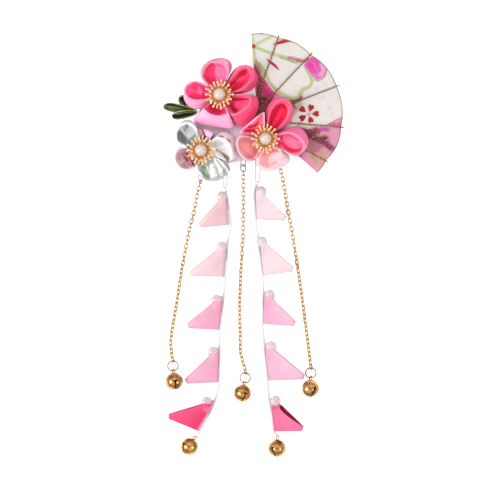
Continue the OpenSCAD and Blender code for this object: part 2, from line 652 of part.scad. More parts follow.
module bead_hood(strand, index) {
    p = strand_rows[strand][index];
    at = strand_beads[strand][index];
    n = hood_turns + 1;
    inner = (hood_runs + 1) * n;
    points = [for (r = [hood_outer, hood_inner]) for (i = [0:hood_runs]) for (j = [0:hood_turns])
        hood_point(p, at, r, i / hood_runs, j / hood_turns)];
    edge = concat([for (i = [0:hood_runs - 1]) i * n], [for (j = [0:hood_turns - 1]) hood_runs * n + j],
        [for (i = [hood_runs:-1:1]) i * n + hood_turns], [for (j = [hood_turns:-1:1]) j]);
    faces = concat(
        [for (i = [0:hood_runs - 1]) for (j = [0:hood_turns - 1])
            let (a = i * n + j, b = a + n)
            each [[a, b, a + 1], [b, b + 1, a + 1], [inner + a, inner + a + 1, inner + b],
                  [inner + b, inner + a + 1, inner + b + 1]]],
        [for (k = [0:len(edge) - 1])
            let (a = edge[k], b = edge[(k + 1) % len(edge)])
            each [[b, a, inner + a], [b, inner + a, inner + b]]]);
    polyhedron(points, strand == 0 ? faces : [for (f = faces) [f[2], f[1], f[0]]], convexity = 6);
}
module strand_petal(strand, index) {
    p = strand_rows[strand][index];
    flip = strand == 0 ? -1 : 1;
    color(p[S_COLOUR]) {
        skin([for (ring = strand_rings)
            [for (i = [0:strand_sides - 1])
                strand_point(p, strand_beads[strand][index], flip * i * 360 / strand_sides, ring)]]);
        bead_hood(strand, index);
    }
}

module beads(strand) {
    color("lavenderblush")
        for (at = strand_beads[strand])
            translate([at[0], at[1], bead_floor + bead_seat_r]) sphere(d = bead_d);
}

fan_panel();
for (i = [1:5])
    fan_cord(i - 1);
for (f = [0:2]) {
    for (i = [0:4])
        flower_petal(f, i);
    stamens(f);
    pearl(f);
}
for (i = [0:2])
    leaf(i);
backing();
clip();
for (i = [0:4])
    hanger(i);
for (i = [0:2]) {
    chain(i);
    bell(chain_bells[i]);
}
for (s = [0:1]) {
    strand_cord(s);
    for (i = [0:4])
        strand_petal(s, i);
    beads(s);
    bell(strand_bells[s]);
}
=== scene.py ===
"""Flower hairpin with a cloth fan, three folded flowers, three chains and two petal strands: its looks.

Lengths in the tables are millimetres in the CAD frame: X right, Y away from the strands, Z up.
"""
import math

import bmesh
import bpy
import mathutils
import numpy as np
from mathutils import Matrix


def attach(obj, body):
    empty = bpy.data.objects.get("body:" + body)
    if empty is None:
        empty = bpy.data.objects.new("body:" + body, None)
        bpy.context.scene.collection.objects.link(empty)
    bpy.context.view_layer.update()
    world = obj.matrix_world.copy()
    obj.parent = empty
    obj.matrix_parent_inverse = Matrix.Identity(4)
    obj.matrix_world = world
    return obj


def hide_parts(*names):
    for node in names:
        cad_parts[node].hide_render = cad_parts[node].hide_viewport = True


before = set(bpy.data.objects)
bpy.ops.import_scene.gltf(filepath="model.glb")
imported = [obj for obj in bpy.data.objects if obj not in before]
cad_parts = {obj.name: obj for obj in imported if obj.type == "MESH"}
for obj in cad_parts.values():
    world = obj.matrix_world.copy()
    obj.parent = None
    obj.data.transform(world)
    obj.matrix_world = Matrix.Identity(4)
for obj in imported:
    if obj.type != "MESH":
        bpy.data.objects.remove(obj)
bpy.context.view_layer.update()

MM = 0.001

# The photograph's frame: one pixel in mm, and the pixel that lies over the origin
PX = 0.46
PX_ORIGIN = (234, 135)
PHOTO_CENTRE = (7.36, -52.9)
PHOTO_WIDTH = 230
LENS = 250
SENSOR = 36
FOCUS_Z = 8
# This one in metres
CLIP_END = 20
# The lights make the floor clear white, and the colours leave them that room
FILL = 0.57
WHITE = (1, 1, 1)
NOISE_CELLS = 64
# Seeds: the fan's creases, each chart's specks, and how far on the glints' seed is
CREASE_SEED = 5
FAN_SEED = 11
PETAL_SEED = 31
LEAF_SEED = 61
STRAND_SEED = 71
GLINT_SEED = 7


def photo(points):
    """Points charted in the photograph's pixels, in mm."""
    v = np.array(points, float)
    return np.stack([(v[:, 0] - PX_ORIGIN[0]) * PX, (PX_ORIGIN[1] - v[:, 1]) * PX], 1)


def rgb(colour):
    """Linear colour, under these lights, of eight bit values."""
    c = np.array(colour, float) / 255
    return FILL * np.where(c <= 0.04045, c / 12.92, ((c + 0.055) / 1.055) ** 2.4)


def mix(a, b, f):
    return a + (b - a) * f


def unit(v):
    v = np.array(v, float)
    return v / np.linalg.norm(v)


def heading(degrees, *rest):
    """A unit vector in plan, with any further coordinates after it."""
    a = math.radians(degrees)
    return np.array([math.cos(a), math.sin(a), *rest])


def left_of(way):
    """The plan vector a quarter turn to the left."""
    return np.array([-way[1], way[0]])


def turns(count):
    """Angles at even steps round a circle."""
    return np.arange(count) * 2 * math.pi / count


def step(edge_0, edge_1, x):
    """Smooth step from 0 to 1."""
    t = np.clip((x - edge_0) / (edge_1 - edge_0), 0, 1)
    return t * t * (3 - 2 * t)


def hill(x, middle, width):
    """Smooth hill of height 1."""
    return np.exp(-((x - middle) / width) ** 2)


def value_noise(points, scale, seed):
    """Smooth noise from 0 to 1 over points in plan, with so many cells a mm."""
    grid = np.random.RandomState(seed).rand(NOISE_CELLS, NOISE_CELLS)
    x, y = points[:, 0] * scale, points[:, 1] * scale
    i, j = np.floor(x).astype(int), np.floor(y).astype(int)
    u, v = x - i, y - j
    u, v = u * u * (3 - 2 * u), v * v * (3 - 2 * v)
    g = [[grid[(i + a) % NOISE_CELLS, (j + b) % NOISE_CELLS] for b in (0, 1)] for a in (0, 1)]
    return mix(mix(g[0][0], g[1][0], u), mix(g[0][1], g[1][1], u), v)


# Curves and skins

def spline(points, steps):
    """A smooth curve through the points, with so many steps a stretch."""
    v = np.array(points, float)
    ends = np.vstack([2 * v[0] - v[1], v, 2 * v[-1] - v[-2]])
    out = []
    for i in range(1, len(ends) - 2):
        a, b, c, d = ends[i - 1:i + 3]
        for f in np.arange(steps) / steps:
            out.append(b + 0.5 * f * (c - a + f * (2 * a - 5 * b + 4 * c - d + f * (3 * (b - c) + d - a))))
    out.append(v[-1])
    return np.array(out)


def ring_steps(rings, steps):
    """Rings on a smooth curve through a table's rows, each with its place in the table."""
    table = spline(rings, steps)
    return list(zip(np.linspace(0, len(rings) - 1, len(table)), table))


def run_along(line):
    """The length of a line up to each of its points."""
    return np.concatenate([[0], np.cumsum(np.linalg.norm(np.diff(line, axis=0), axis=1))])


def at_run(line, at):
    """Points of a line at the given lengths along it."""
    sums = run_along(line)
    return np.stack([np.interp(at, sums, line[:, k]) for k in range(line.shape[1])], 1)


def even(points, gap):
    """The same line, cut at even steps of about gap."""
    v = np.array(points, float)
    length = run_along(v)[-1]
    return at_run(v, np.linspace(0, length, max(2, round(length / gap) + 1)))


def laid(route, rest):
    """Route points in space; a point without a height lies at rest on the surface."""
    return [(*q, rest)[:3] for q in route]


def line_frames(points):
    """Two normals at each point of a line, carried along it without a twist."""
    way = np.gradient(points, axis=0)
    way /= np.linalg.norm(way, axis=1)[:, None]
    start = np.cross(way[0], [0, 0, 1])
    if np.linalg.norm(start) < 1e-3:
        start = np.cross(way[0], [1, 0, 0])
    side = [unit(start)]
    for w in way[1:]:
        side.append(unit(side[-1] - w * np.dot(w, side[-1])))
    side = np.array(side)
    return side, np.cross(way, side)


def outward(ring):
    """Unit normals in plan of a closed line that runs anticlockwise."""
    way = (np.roll(ring, -1, 0) - np.roll(ring, 1, 0))[:, :2]
    out = np.column_stack([way[:, 1], -way[:, 0]])
    return out / np.linalg.norm(out, axis=1)[:, None]


class Skin:
    """Points in mm, faces and colours of one piece."""

    def __init__(self):
        self.points, self.faces, self.paint = [], [], []
        self.count = 0

    def add(self, points, faces, paint=WHITE):
        points = np.array(points, float).reshape(-1, 3)
        self.faces += [[k + self.count for k in face] for face in faces]
        self.points.append(points)
        self.paint.append(np.broadcast_to(np.array(paint, float), (len(points), 3)))
        self.count += len(points)

    def grid(self, rows, paint=WHITE, closed=True, caps=True):
        """Faces over rows of equal numbers of points, closed round each row."""
        rows = np.array(rows, float)
        m, n = rows.shape[:2]
        across = n if closed else n - 1
        faces = [[r * n + i, r * n + (i + 1) % n, (r + 1) * n + (i + 1) % n, (r + 1) * n + i]
                 for r in range(m - 1) for i in range(across)]
        if caps and closed:
            faces += [list(range(n))[::-1], [(m - 1) * n + i for i in range(n)]]
        if np.ndim(paint) == 3:
            paint = np.array(paint).reshape(-1, 3)
        self.add(rows, faces, paint)

    def close(self, first, n, centre, paint):
        """Faces from a ring of n points to a centre."""
        self.add([centre], [], paint)
        self.faces += [[first + i, first + (i + 1) % n, self.count - 1] for i in range(n)]

    def tube(self, line, radius, sides=8, paint=WHITE):
        """A tube along a line; radius is one value or one for each point."""
        line = np.array(line, float)
        side, other = line_frames(line)
        radius = np.broadcast_to(np.array(radius, float), (len(line),))
        a = turns(sides)
        rows = (line[:, None] + radius[:, None, None]
                * (np.cos(a)[None, :, None] * side[:, None] + np.sin(a)[None, :, None] * other[:, None]))
        if np.ndim(paint) == 2:
            paint = np.repeat(np.array(paint)[:, None], sides, 1)
        self.grid(rows, paint)

    def ball(self, at, radii, paint=WHITE, rings=8, sides=12, way=(0, 0, 1)):
        """An ellipsoid, its long axis along way."""
        way = unit(way)
        side = unit(np.cross(way, [0.3, 1, 0.1]))
        other = np.cross(way, side)
        a = turns(sides)
        rows = [np.array(at) + radii[1] * math.cos(u) * way
                + radii[0] * math.sin(u) * (np.cos(a)[:, None] * side + np.sin(a)[:, None] * other)
                for u in np.linspace(0, math.pi, rings + 1)[1:-1]]
        n, m = sides, len(rows)
        points = np.vstack(rows + [[np.array(at) + radii[1] * way], [np.array(at) - radii[1] * way]])
        faces = [[r * n + i, (r + 1) * n + i, (r + 1) * n + (i + 1) % n, r * n + (i + 1) % n]
                 for r in range(m - 1) for i in range(n)]
        faces += [[m * n, i, (i + 1) % n] for i in range(n)]
        faces += [[m * n + 1, (m - 1) * n + (i + 1) % n, (m - 1) * n + i] for i in range(n)]
        self.add(points, faces, paint)

    def build(self, name, item, node, slot):
        """The object, riding on the part's one body in place of a CAD node."""
        mesh = bpy.data.meshes.new(name)
        mesh.from_pydata((np.vstack(self.points) * MM).tolist(), [], self.faces)
        mesh.materials.append(item)
        layer = mesh.color_attributes.new("paint", "FLOAT_COLOR", "POINT")
        colour = np.ones((self.count, 4))
        colour[:, :3] = np.vstack(self.paint)
        layer.data.foreach_set("color", colour.ravel())
        work = bmesh.new()
        work.from_mesh(mesh)
        bmesh.ops.recalc_face_normals(work, faces=work.faces)
        work.to_mesh(mesh)
        work.free()
        mesh.polygons.foreach_set("use_smooth", [True] * len(mesh.polygons))
        piece = bpy.data.objects.new(name, mesh)
        bpy.context.scene.collection.objects.link(piece)
        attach(piece, "root")
        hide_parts(node)
        return piece


# Materials

SHEEN_ROUGH = 0.4
SCATTER_DEPTH = 1.5
# Most of a noise node's values lie between these two
NOISE_LOW = 0.3
NOISE_HIGH = 0.7


def material(name, colour=None, metallic=0.0, rough=0.5, rough_step=0.08, sheen=0.0, sheen_tint=WHITE,
             coat=0.0, coat_rough=0.1, transmission=0.0, ior=1.5, subsurface=0.0, specular=0.5, glow=0.0,
             grain=0.3, bump=0.3, grain_depth=0.05, tone=0.06, tone_size=3.0, stretch=(1, 1, 1)):
    """A colour or else the piece's own paint, with noise in tone and roughness and a bump of grain mm."""
    item = bpy.data.materials.new(name)
    item.use_nodes = True
    nodes, links = item.node_tree.nodes, item.node_tree.links
    shader = nodes["Principled BSDF"]
    values = {"Metallic": metallic, "Sheen Weight": sheen, "Sheen Roughness": SHEEN_ROUGH,
              "Sheen Tint": (*sheen_tint, 1), "Coat Weight": coat, "Coat Roughness": coat_rough,
              "Transmission Weight": transmission, "IOR": ior, "Subsurface Weight": subsurface,
              "Subsurface Scale": SCATTER_DEPTH * MM, "Specular IOR Level": specular,
              "Emission Color": (*WHITE, 1), "Emission Strength": glow}
    for key, value in values.items():
        shader.inputs[key].default_value = value

    place = nodes.new("ShaderNodeTexCoord")
    scale = nodes.new("ShaderNodeMapping")
    scale.inputs["Scale"].default_value = [s / MM for s in stretch]
    links.new(place.outputs["Object"], scale.inputs["Vector"])

    def noise(size, detail=2.0):
        node = nodes.new("ShaderNodeTexNoise")
        node.inputs["Scale"].default_value = 1 / size
        node.inputs["Detail"].default_value = detail
        links.new(scale.outputs["Vector"], node.inputs["Vector"])
        return node.outputs["Fac"]

    def ranged(source, middle, reach_out):
        node = nodes.new("ShaderNodeMapRange")
        ends = (NOISE_LOW, NOISE_HIGH, middle - reach_out, middle + reach_out)
        for key, value in zip(("From Min", "From Max", "To Min", "To Max"), ends):
            node.inputs[key].default_value = value
        links.new(source, node.inputs["Value"])
        return node.outputs["Result"]

    tones = nodes.new("ShaderNodeMix")
    tones.data_type = "RGBA"
    tones.blend_type = "MULTIPLY"
    tones.inputs["Factor"].default_value = 1.0
    if colour is None:
        paint = nodes.new("ShaderNodeAttribute")
        paint.attribute_name = "paint"
        links.new(paint.outputs["Color"], tones.inputs["A"])
    else:
        tones.inputs["A"].default_value = (*colour, 1)
    grey = nodes.new("ShaderNodeCombineColor")
    soft = ranged(noise(tone_size), 1, tone)
    for key in ("Red", "Green", "Blue"):
        links.new(soft, grey.inputs[key])
    links.new(grey.outputs["Color"], tones.inputs["B"])
    links.new(tones.outputs["Result"], shader.inputs["Base Color"])
    links.new(ranged(noise(grain * 2), rough, rough_step), shader.inputs["Roughness"])
    relief = nodes.new("ShaderNodeBump")
    relief.inputs["Strength"].default_value = bump
    relief.inputs["Distance"].default_value = grain_depth * MM
    links.new(noise(grain, 3.0), relief.inputs["Height"])
    links.new(relief.outputs["Normal"], shader.inputs["Normal"])
    return item


crepe = material("crepe_petal", rough=0.62, sheen=0.12, sheen_tint=(1, 0.85, 0.9), specular=0.2, grain=0.22,
                 bump=0.35, tone=0.03)
printed = material("crepe_print", rough=0.66, sheen=0.05, specular=0.2, grain=0.3, bump=0.4,
                   grain_depth=0.08, tone=0.03)
satin = material("satin", rough=0.4, sheen=0.03, specular=0.25, grain=0.16, bump=0.25, tone=0.1,
                 tone_size=1.5)
# The backing's muted mauve is partly painted shade, so the gaps between the petals look shaded
felt = material("felt", (0.66, 0.52, 0.6), rough=0.9, sheen=0.5, grain=0.25, bump=0.5, grain_depth=0.1)
cotton = material("white_thread", rgb((238, 232, 238)), rough=0.75, sheen=0.4, grain=0.12, bump=0.3)
gold_thread = material("gold_thread", metallic=0.5, rough=0.35, grain=0.12, bump=0.4, tone=0.2,
                       tone_size=0.5)
gold = material("chain_gold", metallic=1.0, rough=0.3, rough_step=0.05, grain=0.25, bump=0.08,
                grain_depth=0.01, tone=0.05)
brass = material("bell_brass", rgb((208, 154, 96)), metallic=1.0, rough=0.16, rough_step=0.04, grain=0.6,
                 bump=0.05, grain_depth=0.01, tone=0.5, tone_size=3.2)
stamen_gold = material("stamen_gold", metallic=0.08, rough=0.3, rough_step=0.06, grain=0.3, bump=0.15,
                       grain_depth=0.02, tone=0.05)
steel = material("clip_steel", rgb((196, 196, 200)), metallic=1.0, rough=0.34, grain=0.25, bump=0.3,
                 grain_depth=0.01, tone=0.05, stretch=(0.05, 1, 1))
nacre = material("pearl", rough=0.3, rough_step=0.03, coat=1.0, coat_rough=0.03, subsurface=0.1, grain=0.8,
                 bump=0.03, grain_depth=0.01, tone=0.03)
glass = material("glass_bead", rough=0.15, rough_step=0.02, transmission=0.25, ior=1.45, coat=1.0,
                 coat_rough=0.04, grain=0.5, bump=0.02, grain_depth=0.01, tone=0.02)
floor_paper = material("floor_paper", (0.92, 0.92, 0.92), rough=0.9, glow=0.3, grain=2.0, bump=0.02,
                       tone=0.004, tone_size=80)

# The camera, straight above

camera_data = bpy.data.cameras.new("photo_camera")
camera_data.lens = LENS
camera_data.sensor_width = SENSOR
camera_data.clip_end = CLIP_END
camera = bpy.data.objects.new("photo_camera", camera_data)
camera.location = np.array([*PHOTO_CENTRE, FOCUS_Z + PHOTO_WIDTH * LENS / SENSOR]) * MM
bpy.context.scene.collection.objects.link(camera)
bpy.context.scene.camera = camera

# White cords

SIDES = ("left", "right")
STRAND_D = 0.8
STRAND_LENGTHS = (0.116, 0.118)
# The drawn cord is a little fuller than the solid one
CORD_FULL = 1.24
CORD_PLIES = 3
CORD_PLY_FULL = 1.5
CORD_PITCH = 2.4
CORD_CUT = 0.3
KNOT_SWELL = 0.3
KNOT_W = 0.6
KNOT_BACK = 0.1
REST = 0.6
strand_routes = {
    # x, y and, off the surface, z
    "left": [
        (-3.8, -25.4, 1.2), (-3, -29.5, 0.6), (-2.2, -34.5), (-1.5, -39.8), (-1.9, -44.2), (-2.8, -48.3),
        (-3.2, -55.2), (-3.6, -60.7), (-4.2, -66.2), (-4.7, -73.6), (-5.2, -78.7), (-5.7, -84.2),
        (-6.4, -88.3), (-6.8, -92), (-6.7, -97.1), (-6.7, -102.6), (-6.7, -108.6), (-6.9, -114.5),
        (-8.2, -120.7), (-10.1, -125.6), (-12.2, -130.6), (-14.4, -134.6), (-16.1, -137, 0.9),
        (-17, -137.9, 1.6)],
    "right": [
        (10.3, -22.6, 1.2), (9.4, -26.2, 0.7), (9.4, -30.8), (9.6, -35.4), (10, -40), (10.7, -44.2),
        (11.1, -48.3), (11.6, -52.9), (12.2, -58.4), (12.9, -64.4), (13.4, -68.5), (13.4, -72.7),
        (13.2, -78.2), (13, -83.7), (13.1, -88.3), (13.6, -92.5), (13.8, -96.6), (14.2, -102.1),
        (14.8, -107.6), (15.4, -113.2), (15.9, -118.2), (16.2, -122.8), (17, -127.4), (17.7, -132.5),
        (18.2, -136.6, 0.6), (18.9, -138, 1), (19.9, -137.9, 1.6)]}


def twisted(skin, line, radius, plies, pitch, gap, paints=(WHITE,), sides=8, knot_at=None, fat=1.06):
    """Plies wound round a line cut every gap mm; at the length knot_at the whole cord swells."""
    line = even(line, gap)
    side, other = line_frames(line)
    run = run_along(line)
    ply = radius / (1 + 1 / math.sin(math.pi / plies)) if plies > 2 else radius / 2
    grow = np.ones(len(line))
    if knot_at is not None:
        grow += KNOT_SWELL * hill(run, knot_at, KNOT_W)
    for k in range(plies):
        a = 2 * math.pi * (run / pitch + k / plies)
        round_line = np.cos(a)[:, None] * side + np.sin(a)[:, None] * other
        skin.tube(line + ((radius - ply) * grow)[:, None] * round_line, ply * grow * fat, sides,
                  paints[k % len(paints)])


strand_lines = {name: even(spline(laid(route, REST), 6), 0.4) for name, route in strand_routes.items()}
for side_name in SIDES:
    skin = Skin()
    twisted(skin, strand_lines[side_name], STRAND_D / 2 * CORD_FULL, CORD_PLIES, CORD_PITCH, CORD_CUT,
            fat=CORD_PLY_FULL)
    skin.build(f"white_cord_{side_name}", cotton, f"strand_cord_{side_name}",
                                  "white_thread")

# Fan

PLATE_TOP = 7.3
FAN_Z = 7.4
FAN_T = 2
FAN_TOP = FAN_Z + FAN_T
FAN_FIRST_R = 1.2
FAN_EDGE = 0.5
FAN_TURNS = 330
FAN_RUNS = 190
FAN_CORD_D = 0.7
FAN_CORD_FULL = 0.84
FAN_CORD_START = 5.5
FAN_CORD_PLIES = 2
FAN_CORD_PITCH = 1.5
FAN_CORD_CUT = 0.12
FAN_CORD_GAP = 0.1
FAN_CORDS = 5
FAN_BACK_R = 18
FAN_CORD_TONES = (rgb((222, 168, 92)), rgb((84, 44, 20)))
PUFF = 0.3
PUFF_W = 1.6
PUFF_RIM = 0.3
CREASE = 0.07
CREASE_SCALE = 0.35
# Where the puff rises and falls, and where the rim's painted shade begins, as shares of the way out
PUFF_UP = (0, 0.12)
PUFF_DOWN = (1, 0.93)
RIM_BAND = (0.978, 0.992)
RIM_SHADE_SHARE = 0.75
HEM_STEP = 0.35
fan_apex = np.array([10.4, 6.9])
fan_cord_root = np.array([7.1, 7.1])
# The flat fan is lit more than the folded flowers
PRINT_FILL = 0.86
FAN_CLOTH = rgb((240, 235, 230))
# Painted shade where the cloth rolls over the fan's edge: a band round the rim, and the hem down its side
FAN_RIM_SHADE = rgb((150, 118, 96))
FAN_HEM_SHADE = rgb((150, 116, 92))
FAN_BACK_TONE = rgb((225, 205, 200))
fan_rim = [
    # angle at the apex, radius, how far the next bay's middle lies inside a smooth arc
    (94.4, 40.2, -0.6),
    (75.2, 39.6, -0.7),
    (50.4, 39.6, -0.7),
    (22.8, 40.5, -0.5),
    (-4.9, 39.5, -0.9),
    (-30.6, 37.5, -0.3),
    (-42, 37.5, 0)]
fan_skirt = [
    # out from the top's edge, down from it; below SKIRT_TURN the drop counts from the fan's top plane
    (0.2, -0.05), (0.37, -0.16), (0.47, -0.32), (FAN_EDGE, -0.5), (FAN_EDGE, -FAN_T + 0.45),
    (0.4, -FAN_T + 0.12), (0.1, -FAN_T)]
SKIRT_TURN = -0.4

# The print, charted in the photograph's pixels
fan_print = [
    # kind, colour, strength, half width or feather, points; the last two are in pixels
    ("area", (150, 24, 70), 0.9, 2.4, [(254, 64), (257, 66), (260.5, 73), (264, 80), (268, 89), (272, 98),
        (268, 104), (258, 105), (254, 97), (253, 80)]),
    ("area", (112, 12, 38), 0.95, 1.6, [(254, 98), (264, 97), (273, 98.5), (277, 102), (271, 112),
        (262, 124), (254, 120)]),
    ("spray", (190, 160, 112), 0.8, 3, [(259, 64), (262, 68), (264.5, 74)]),
    ("spray", (110, 60, 50), 0.7, 1.8, [(253.5, 64.5), (255, 66.5)]),
    ("spray", (164, 18, 76), 0.95, 4, [(256, 70), (258.5, 75), (260, 81)]),
    ("area", (198, 34, 114), 0.95, 1.6, [(263, 80), (266.5, 81.5), (270.5, 87.5), (275, 92.5), (280, 95.5),
        (274, 99), (267, 98), (262, 91)]),
    ("spray", (224, 44, 156), 0.8, 2.8, [(267, 87), (270, 91)]),
    ("spray", (112, 6, 20), 0.95, 4, [(260, 86), (259, 92), (257, 97)]),
    ("spray", (110, 8, 28), 0.95, 4.6, [(258, 99), (264, 101), (270, 102)]),
    ("spray", (236, 150, 180), 0.7, 2.6, [(276, 96.5), (281, 98)]),
    ("spray", (126, 32, 46), 1.0, 5.4, [(287, 104), (293, 102), (299, 98)]),
    ("spray", (122, 38, 48), 1.0, 4, [(291, 107), (295, 108)]),
    ("spray", (190, 178, 160), 0.8, 4, [(291, 114), (296, 110), (300, 105)]),
    ("area", (230, 166, 176), 1.0, 1.2, [(298, 122.5), (306, 124.5), (318, 126), (332, 127), (343.5, 127.6),
        (348, 130), (344, 141), (336, 156), (330, 163), (318, 179), (311, 174), (294, 158), (290, 140)]),
    ("area", (226, 218, 214), 0.95, 0.8, [(301, 123), (310, 124.8), (319, 126.2), (317, 128), (309, 129.6),
        (302, 128)]),
    ("line", (128, 112, 116), 0.6, 0.5, [(304, 130), (310, 129.8), (316, 128.2)]),
    ("spray", (146, 26, 74), 1.0, 6.0, [(303, 131.5), (310, 132.5), (317, 131)]),
    ("spray", (208, 76, 164), 0.95, 3.2, [(320, 129.5), (325, 129.5), (328, 130)]),
    ("spray", (112, 28, 54), 1.0, 5.8, [(304, 136), (312, 137.5), (319, 140), (325, 139)]),
    ("spray", (124, 36, 72), 1.0, 5.2, [(321, 141.5), (327, 145), (332, 148.5)]),
    ("spray", (186, 108, 122), 0.9, 5.4, [(309, 143), (315, 146), (321, 147.5)]),
    ("spray", (196, 130, 110), 0.8, 3.4, [(309, 146), (313, 151)]),
    ("spray", (196, 96, 124), 0.8, 3.2, [(312, 150), (318, 151)]),
    ("spray", (232, 150, 178), 0.8, 3.6, [(322, 149.5), (328, 153)]),
    ("spray", (240, 154, 186), 0.95, 5, [(331, 134), (337, 137), (335, 142)]),
    ("line", (232, 150, 180), 0.7, 0.5, [(325, 140.6), (327, 139.4), (328.6, 140.8)]),
    ("line", (224, 140, 172), 0.7, 0.5, [(330, 145), (332, 143.8), (333.6, 145.6), (332.4, 147.4)]),
    ("spray", (196, 170, 108), 0.85, 3, [(320, 153), (324, 156)]),
    ("spray", (186, 172, 112), 0.9, 4, [(312.5, 157), (315, 162)]),
    ("spray", (240, 152, 190), 0.95, 4.2, [(304, 156), (309, 161), (312, 166)]),
    ("spray", (228, 174, 162), 0.8, 3, [(320, 161), (321, 166)]),
    ("spray", (246, 168, 192), 0.95, 3.4, [(315, 172), (318, 169)]),
    ("spray", (150, 104, 132), 0.8, 2, [(295, 156), (301, 155.5)]),
    ("line", (238, 216, 228), 0.8, 0.8, [(297, 158), (306, 166), (314, 174)]),
    ("line", (130, 70, 104), 0.6, 0.8, [(338, 145), (334, 153), (330, 159)]),
    ("area", (222, 102, 156), 0.95, 1.0, [(328, 124.4), (334, 121.5), (338, 119.5), (346, 116), (349, 122),
        (346, 128.4), (333, 127)]),
    ("spray", (234, 160, 192), 0.9, 2.8, [(336, 121.5), (342, 119.5)]),
    ("spray", (176, 52, 116), 0.8, 2.2, [(341, 126), (343.5, 122)]),
    ("line", (150, 96, 96), 0.6, 0.5, [(322, 126), (329, 123.8), (334, 120.8), (344, 116.4)]),
    ("area", (240, 234, 228), 1.0, 0.9, [(267.5, 77), (264, 68), (262, 60), (268, 54), (284, 58), (296, 66),
        (303, 68), (307, 71), (310.5, 77), (312, 82), (310, 86.5), (306, 87.5), (302.5, 89), (300.5, 93),
        (298, 97.5), (291, 98.5), (285, 96), (279, 91.5), (273, 86.5), (269, 82)]),
    ("line", (190, 198, 134), 0.9, 1.9, [(262.5, 68), (267, 77), (269, 81.5), (272.5, 86), (278.5, 91.3),
        (285, 95.6), (291.9, 98.6), (297.6, 97.4), (300.4, 92.4), (303.6, 88.8), (308.8, 87.2), (311.7, 82),
        (310, 75.5), (306, 69)]),
    ("line", (132, 122, 66), 0.5, 0.6, [(270, 83.5), (275, 90), (281, 95.6), (288, 99.6), (294, 100),
        (299, 98.4), (302.6, 93), (305, 90)]),
    ("area", (238, 84, 182), 1.0, 1.2, [(303.9, 65.5), (307.3, 60.5), (311, 57), (316.5, 57.5), (322, 61.5),
        (326.2, 66.5), (326.4, 72), (324, 76.5), (319, 79.8), (315, 79), (311.5, 75), (307.5, 70)]),
    ("spray", (240, 46, 168), 0.9, 3.2, [(308.5, 62.5), (311, 66)]),
    ("spray", (243, 176, 214), 0.95, 3.6, [(321.5, 65), (323.5, 70), (321, 75)]),
    ("spray", (232, 140, 196), 0.8, 3, [(314, 75.5), (318.5, 77)]),
    ("line", (250, 196, 226), 0.2, 0.8, [(313, 63), (317, 70), (319, 76)]),
    ("line", (168, 140, 96), 0.7, 0.7, [(327.5, 66.5), (326.4, 71), (324.6, 76.6), (319, 80.8),
        (314, 80)]),
    ("line", (204, 214, 164), 0.9, 1.6, [(251.8, 32), (253, 40), (253, 44)]),
    ("line", (200, 214, 156), 0.95, 1.7, [(255.7, 45), (263, 41), (274, 35.4)]),
    ("line", (196, 208, 146), 0.95, 1.9, [(256, 47.5), (262, 50), (270, 53), (278, 55.6), (285, 57.4),
        (292, 60.6), (297, 63)]),
    ("line", (160, 128, 76), 0.6, 0.9, [(280, 57.6), (286, 59.6), (294, 63)]),
    ("spray", (194, 104, 132), 0.85, 2.9, [(289, 58), (296, 59.5), (303, 61), (308, 59.5)]),
    ("spray", (176, 50, 90), 0.6, 2, [(297, 61), (304, 62)]),
    ("line", (200, 206, 144), 0.9, 1.9, [(253.6, 49), (254.4, 56), (255.4, 62)]),
    ("line", (160, 128, 80), 0.7, 1.4, [(256, 61), (258, 66), (261, 72)]),
    ("spot", (196, 44, 40), 1.0, 2.4, [(253.3, 46.5)]),
    ("spot", (70, 50, 80), 0.9, 0.9, [(261, 33.7)]),
    ("dash", (196, 32, 34), 1.0, 1.9, [(272.5, 45), (286.5, 41), (294.5, 42)]),
    ("dash", (190, 32, 38), 1.0, 1.5, [(266, 59), (275, 66), (279.4, 70.8)]),
    ("petal", (178, 20, 32), 1.0, 3.2, [(302.4, 109.6), (308.8, 114.4)]),
    ("petal", (186, 26, 34), 1.0, 3.2, [(310.8, 107.8), (308.8, 114.4)]),
    ("petal", (186, 22, 32), 1.0, 3.1, [(316, 113.9), (308.8, 114.4)]),
    ("petal", (172, 18, 30), 1.0, 3, [(310.6, 120), (308.8, 114.4)]),
    ("petal", (160, 10, 22), 1.0, 3.3, [(302.4, 118), (308.8, 114.4)]),
    ("line", (176, 22, 34), 0.5, 0.25, [(307, 113), (310, 115.5)]),
    ("line", (176, 22, 34), 0.5, 0.25, [(310, 113), (307.5, 115.5)]),
    ("blossom", (246, 200, 214), 0.6, 2.6, [(334.5, 81.5)]),
    ("blossom", (247, 206, 218), 0.6, 2.8, [(324.7, 85)]),
    ("blossom", (240, 210, 226), 0.6, 3, [(317, 88.3)]),
    ("blossom", (247, 210, 220), 0.5, 2.6, [(305, 93)]),
    ("blossom", (246, 202, 214), 0.6, 3, [(323.4, 98)]),
    ("blossom", (247, 206, 216), 0.6, 2.8, [(329, 108)]),
    ("blossom", (246, 200, 212), 0.6, 2.8, [(332.5, 114)]),
    ("blossom", (244, 212, 226), 0.5, 2.6, [(322, 113)]),
    ("blossom", (247, 210, 220), 0.5, 2.6, [(339, 97)])]
# Dark sprays on the fan have glints of gold
GLINT = (222, 170, 120)
GLINT_STRENGTH = 0.35
GLINT_SCALE = 2.6
GLINT_BAND = (0.6, 0.78)
DARK_SUM = 480
# The specks in a spray: share, scale of each noise
SPECKS = ((0.6, 3.1), (0.4, 1.3))
SPRAY_LEAST = 0.72
SPRAY_SPECK = 0.56


def inside(points, polygon):
    """Which points lie in a polygon."""
    x, y = points[:, 0], points[:, 1]
    result = np.zeros(len(points), bool)
    for a, b in zip(polygon, np.roll(polygon, -1, 0)):
        if a[1] != b[1]:
            cross = (a[1] > y) != (b[1] > y)
            result ^= cross & (x < (b[0] - a[0]) * (y - a[1]) / (b[1] - a[1]) + a[0])
    return result


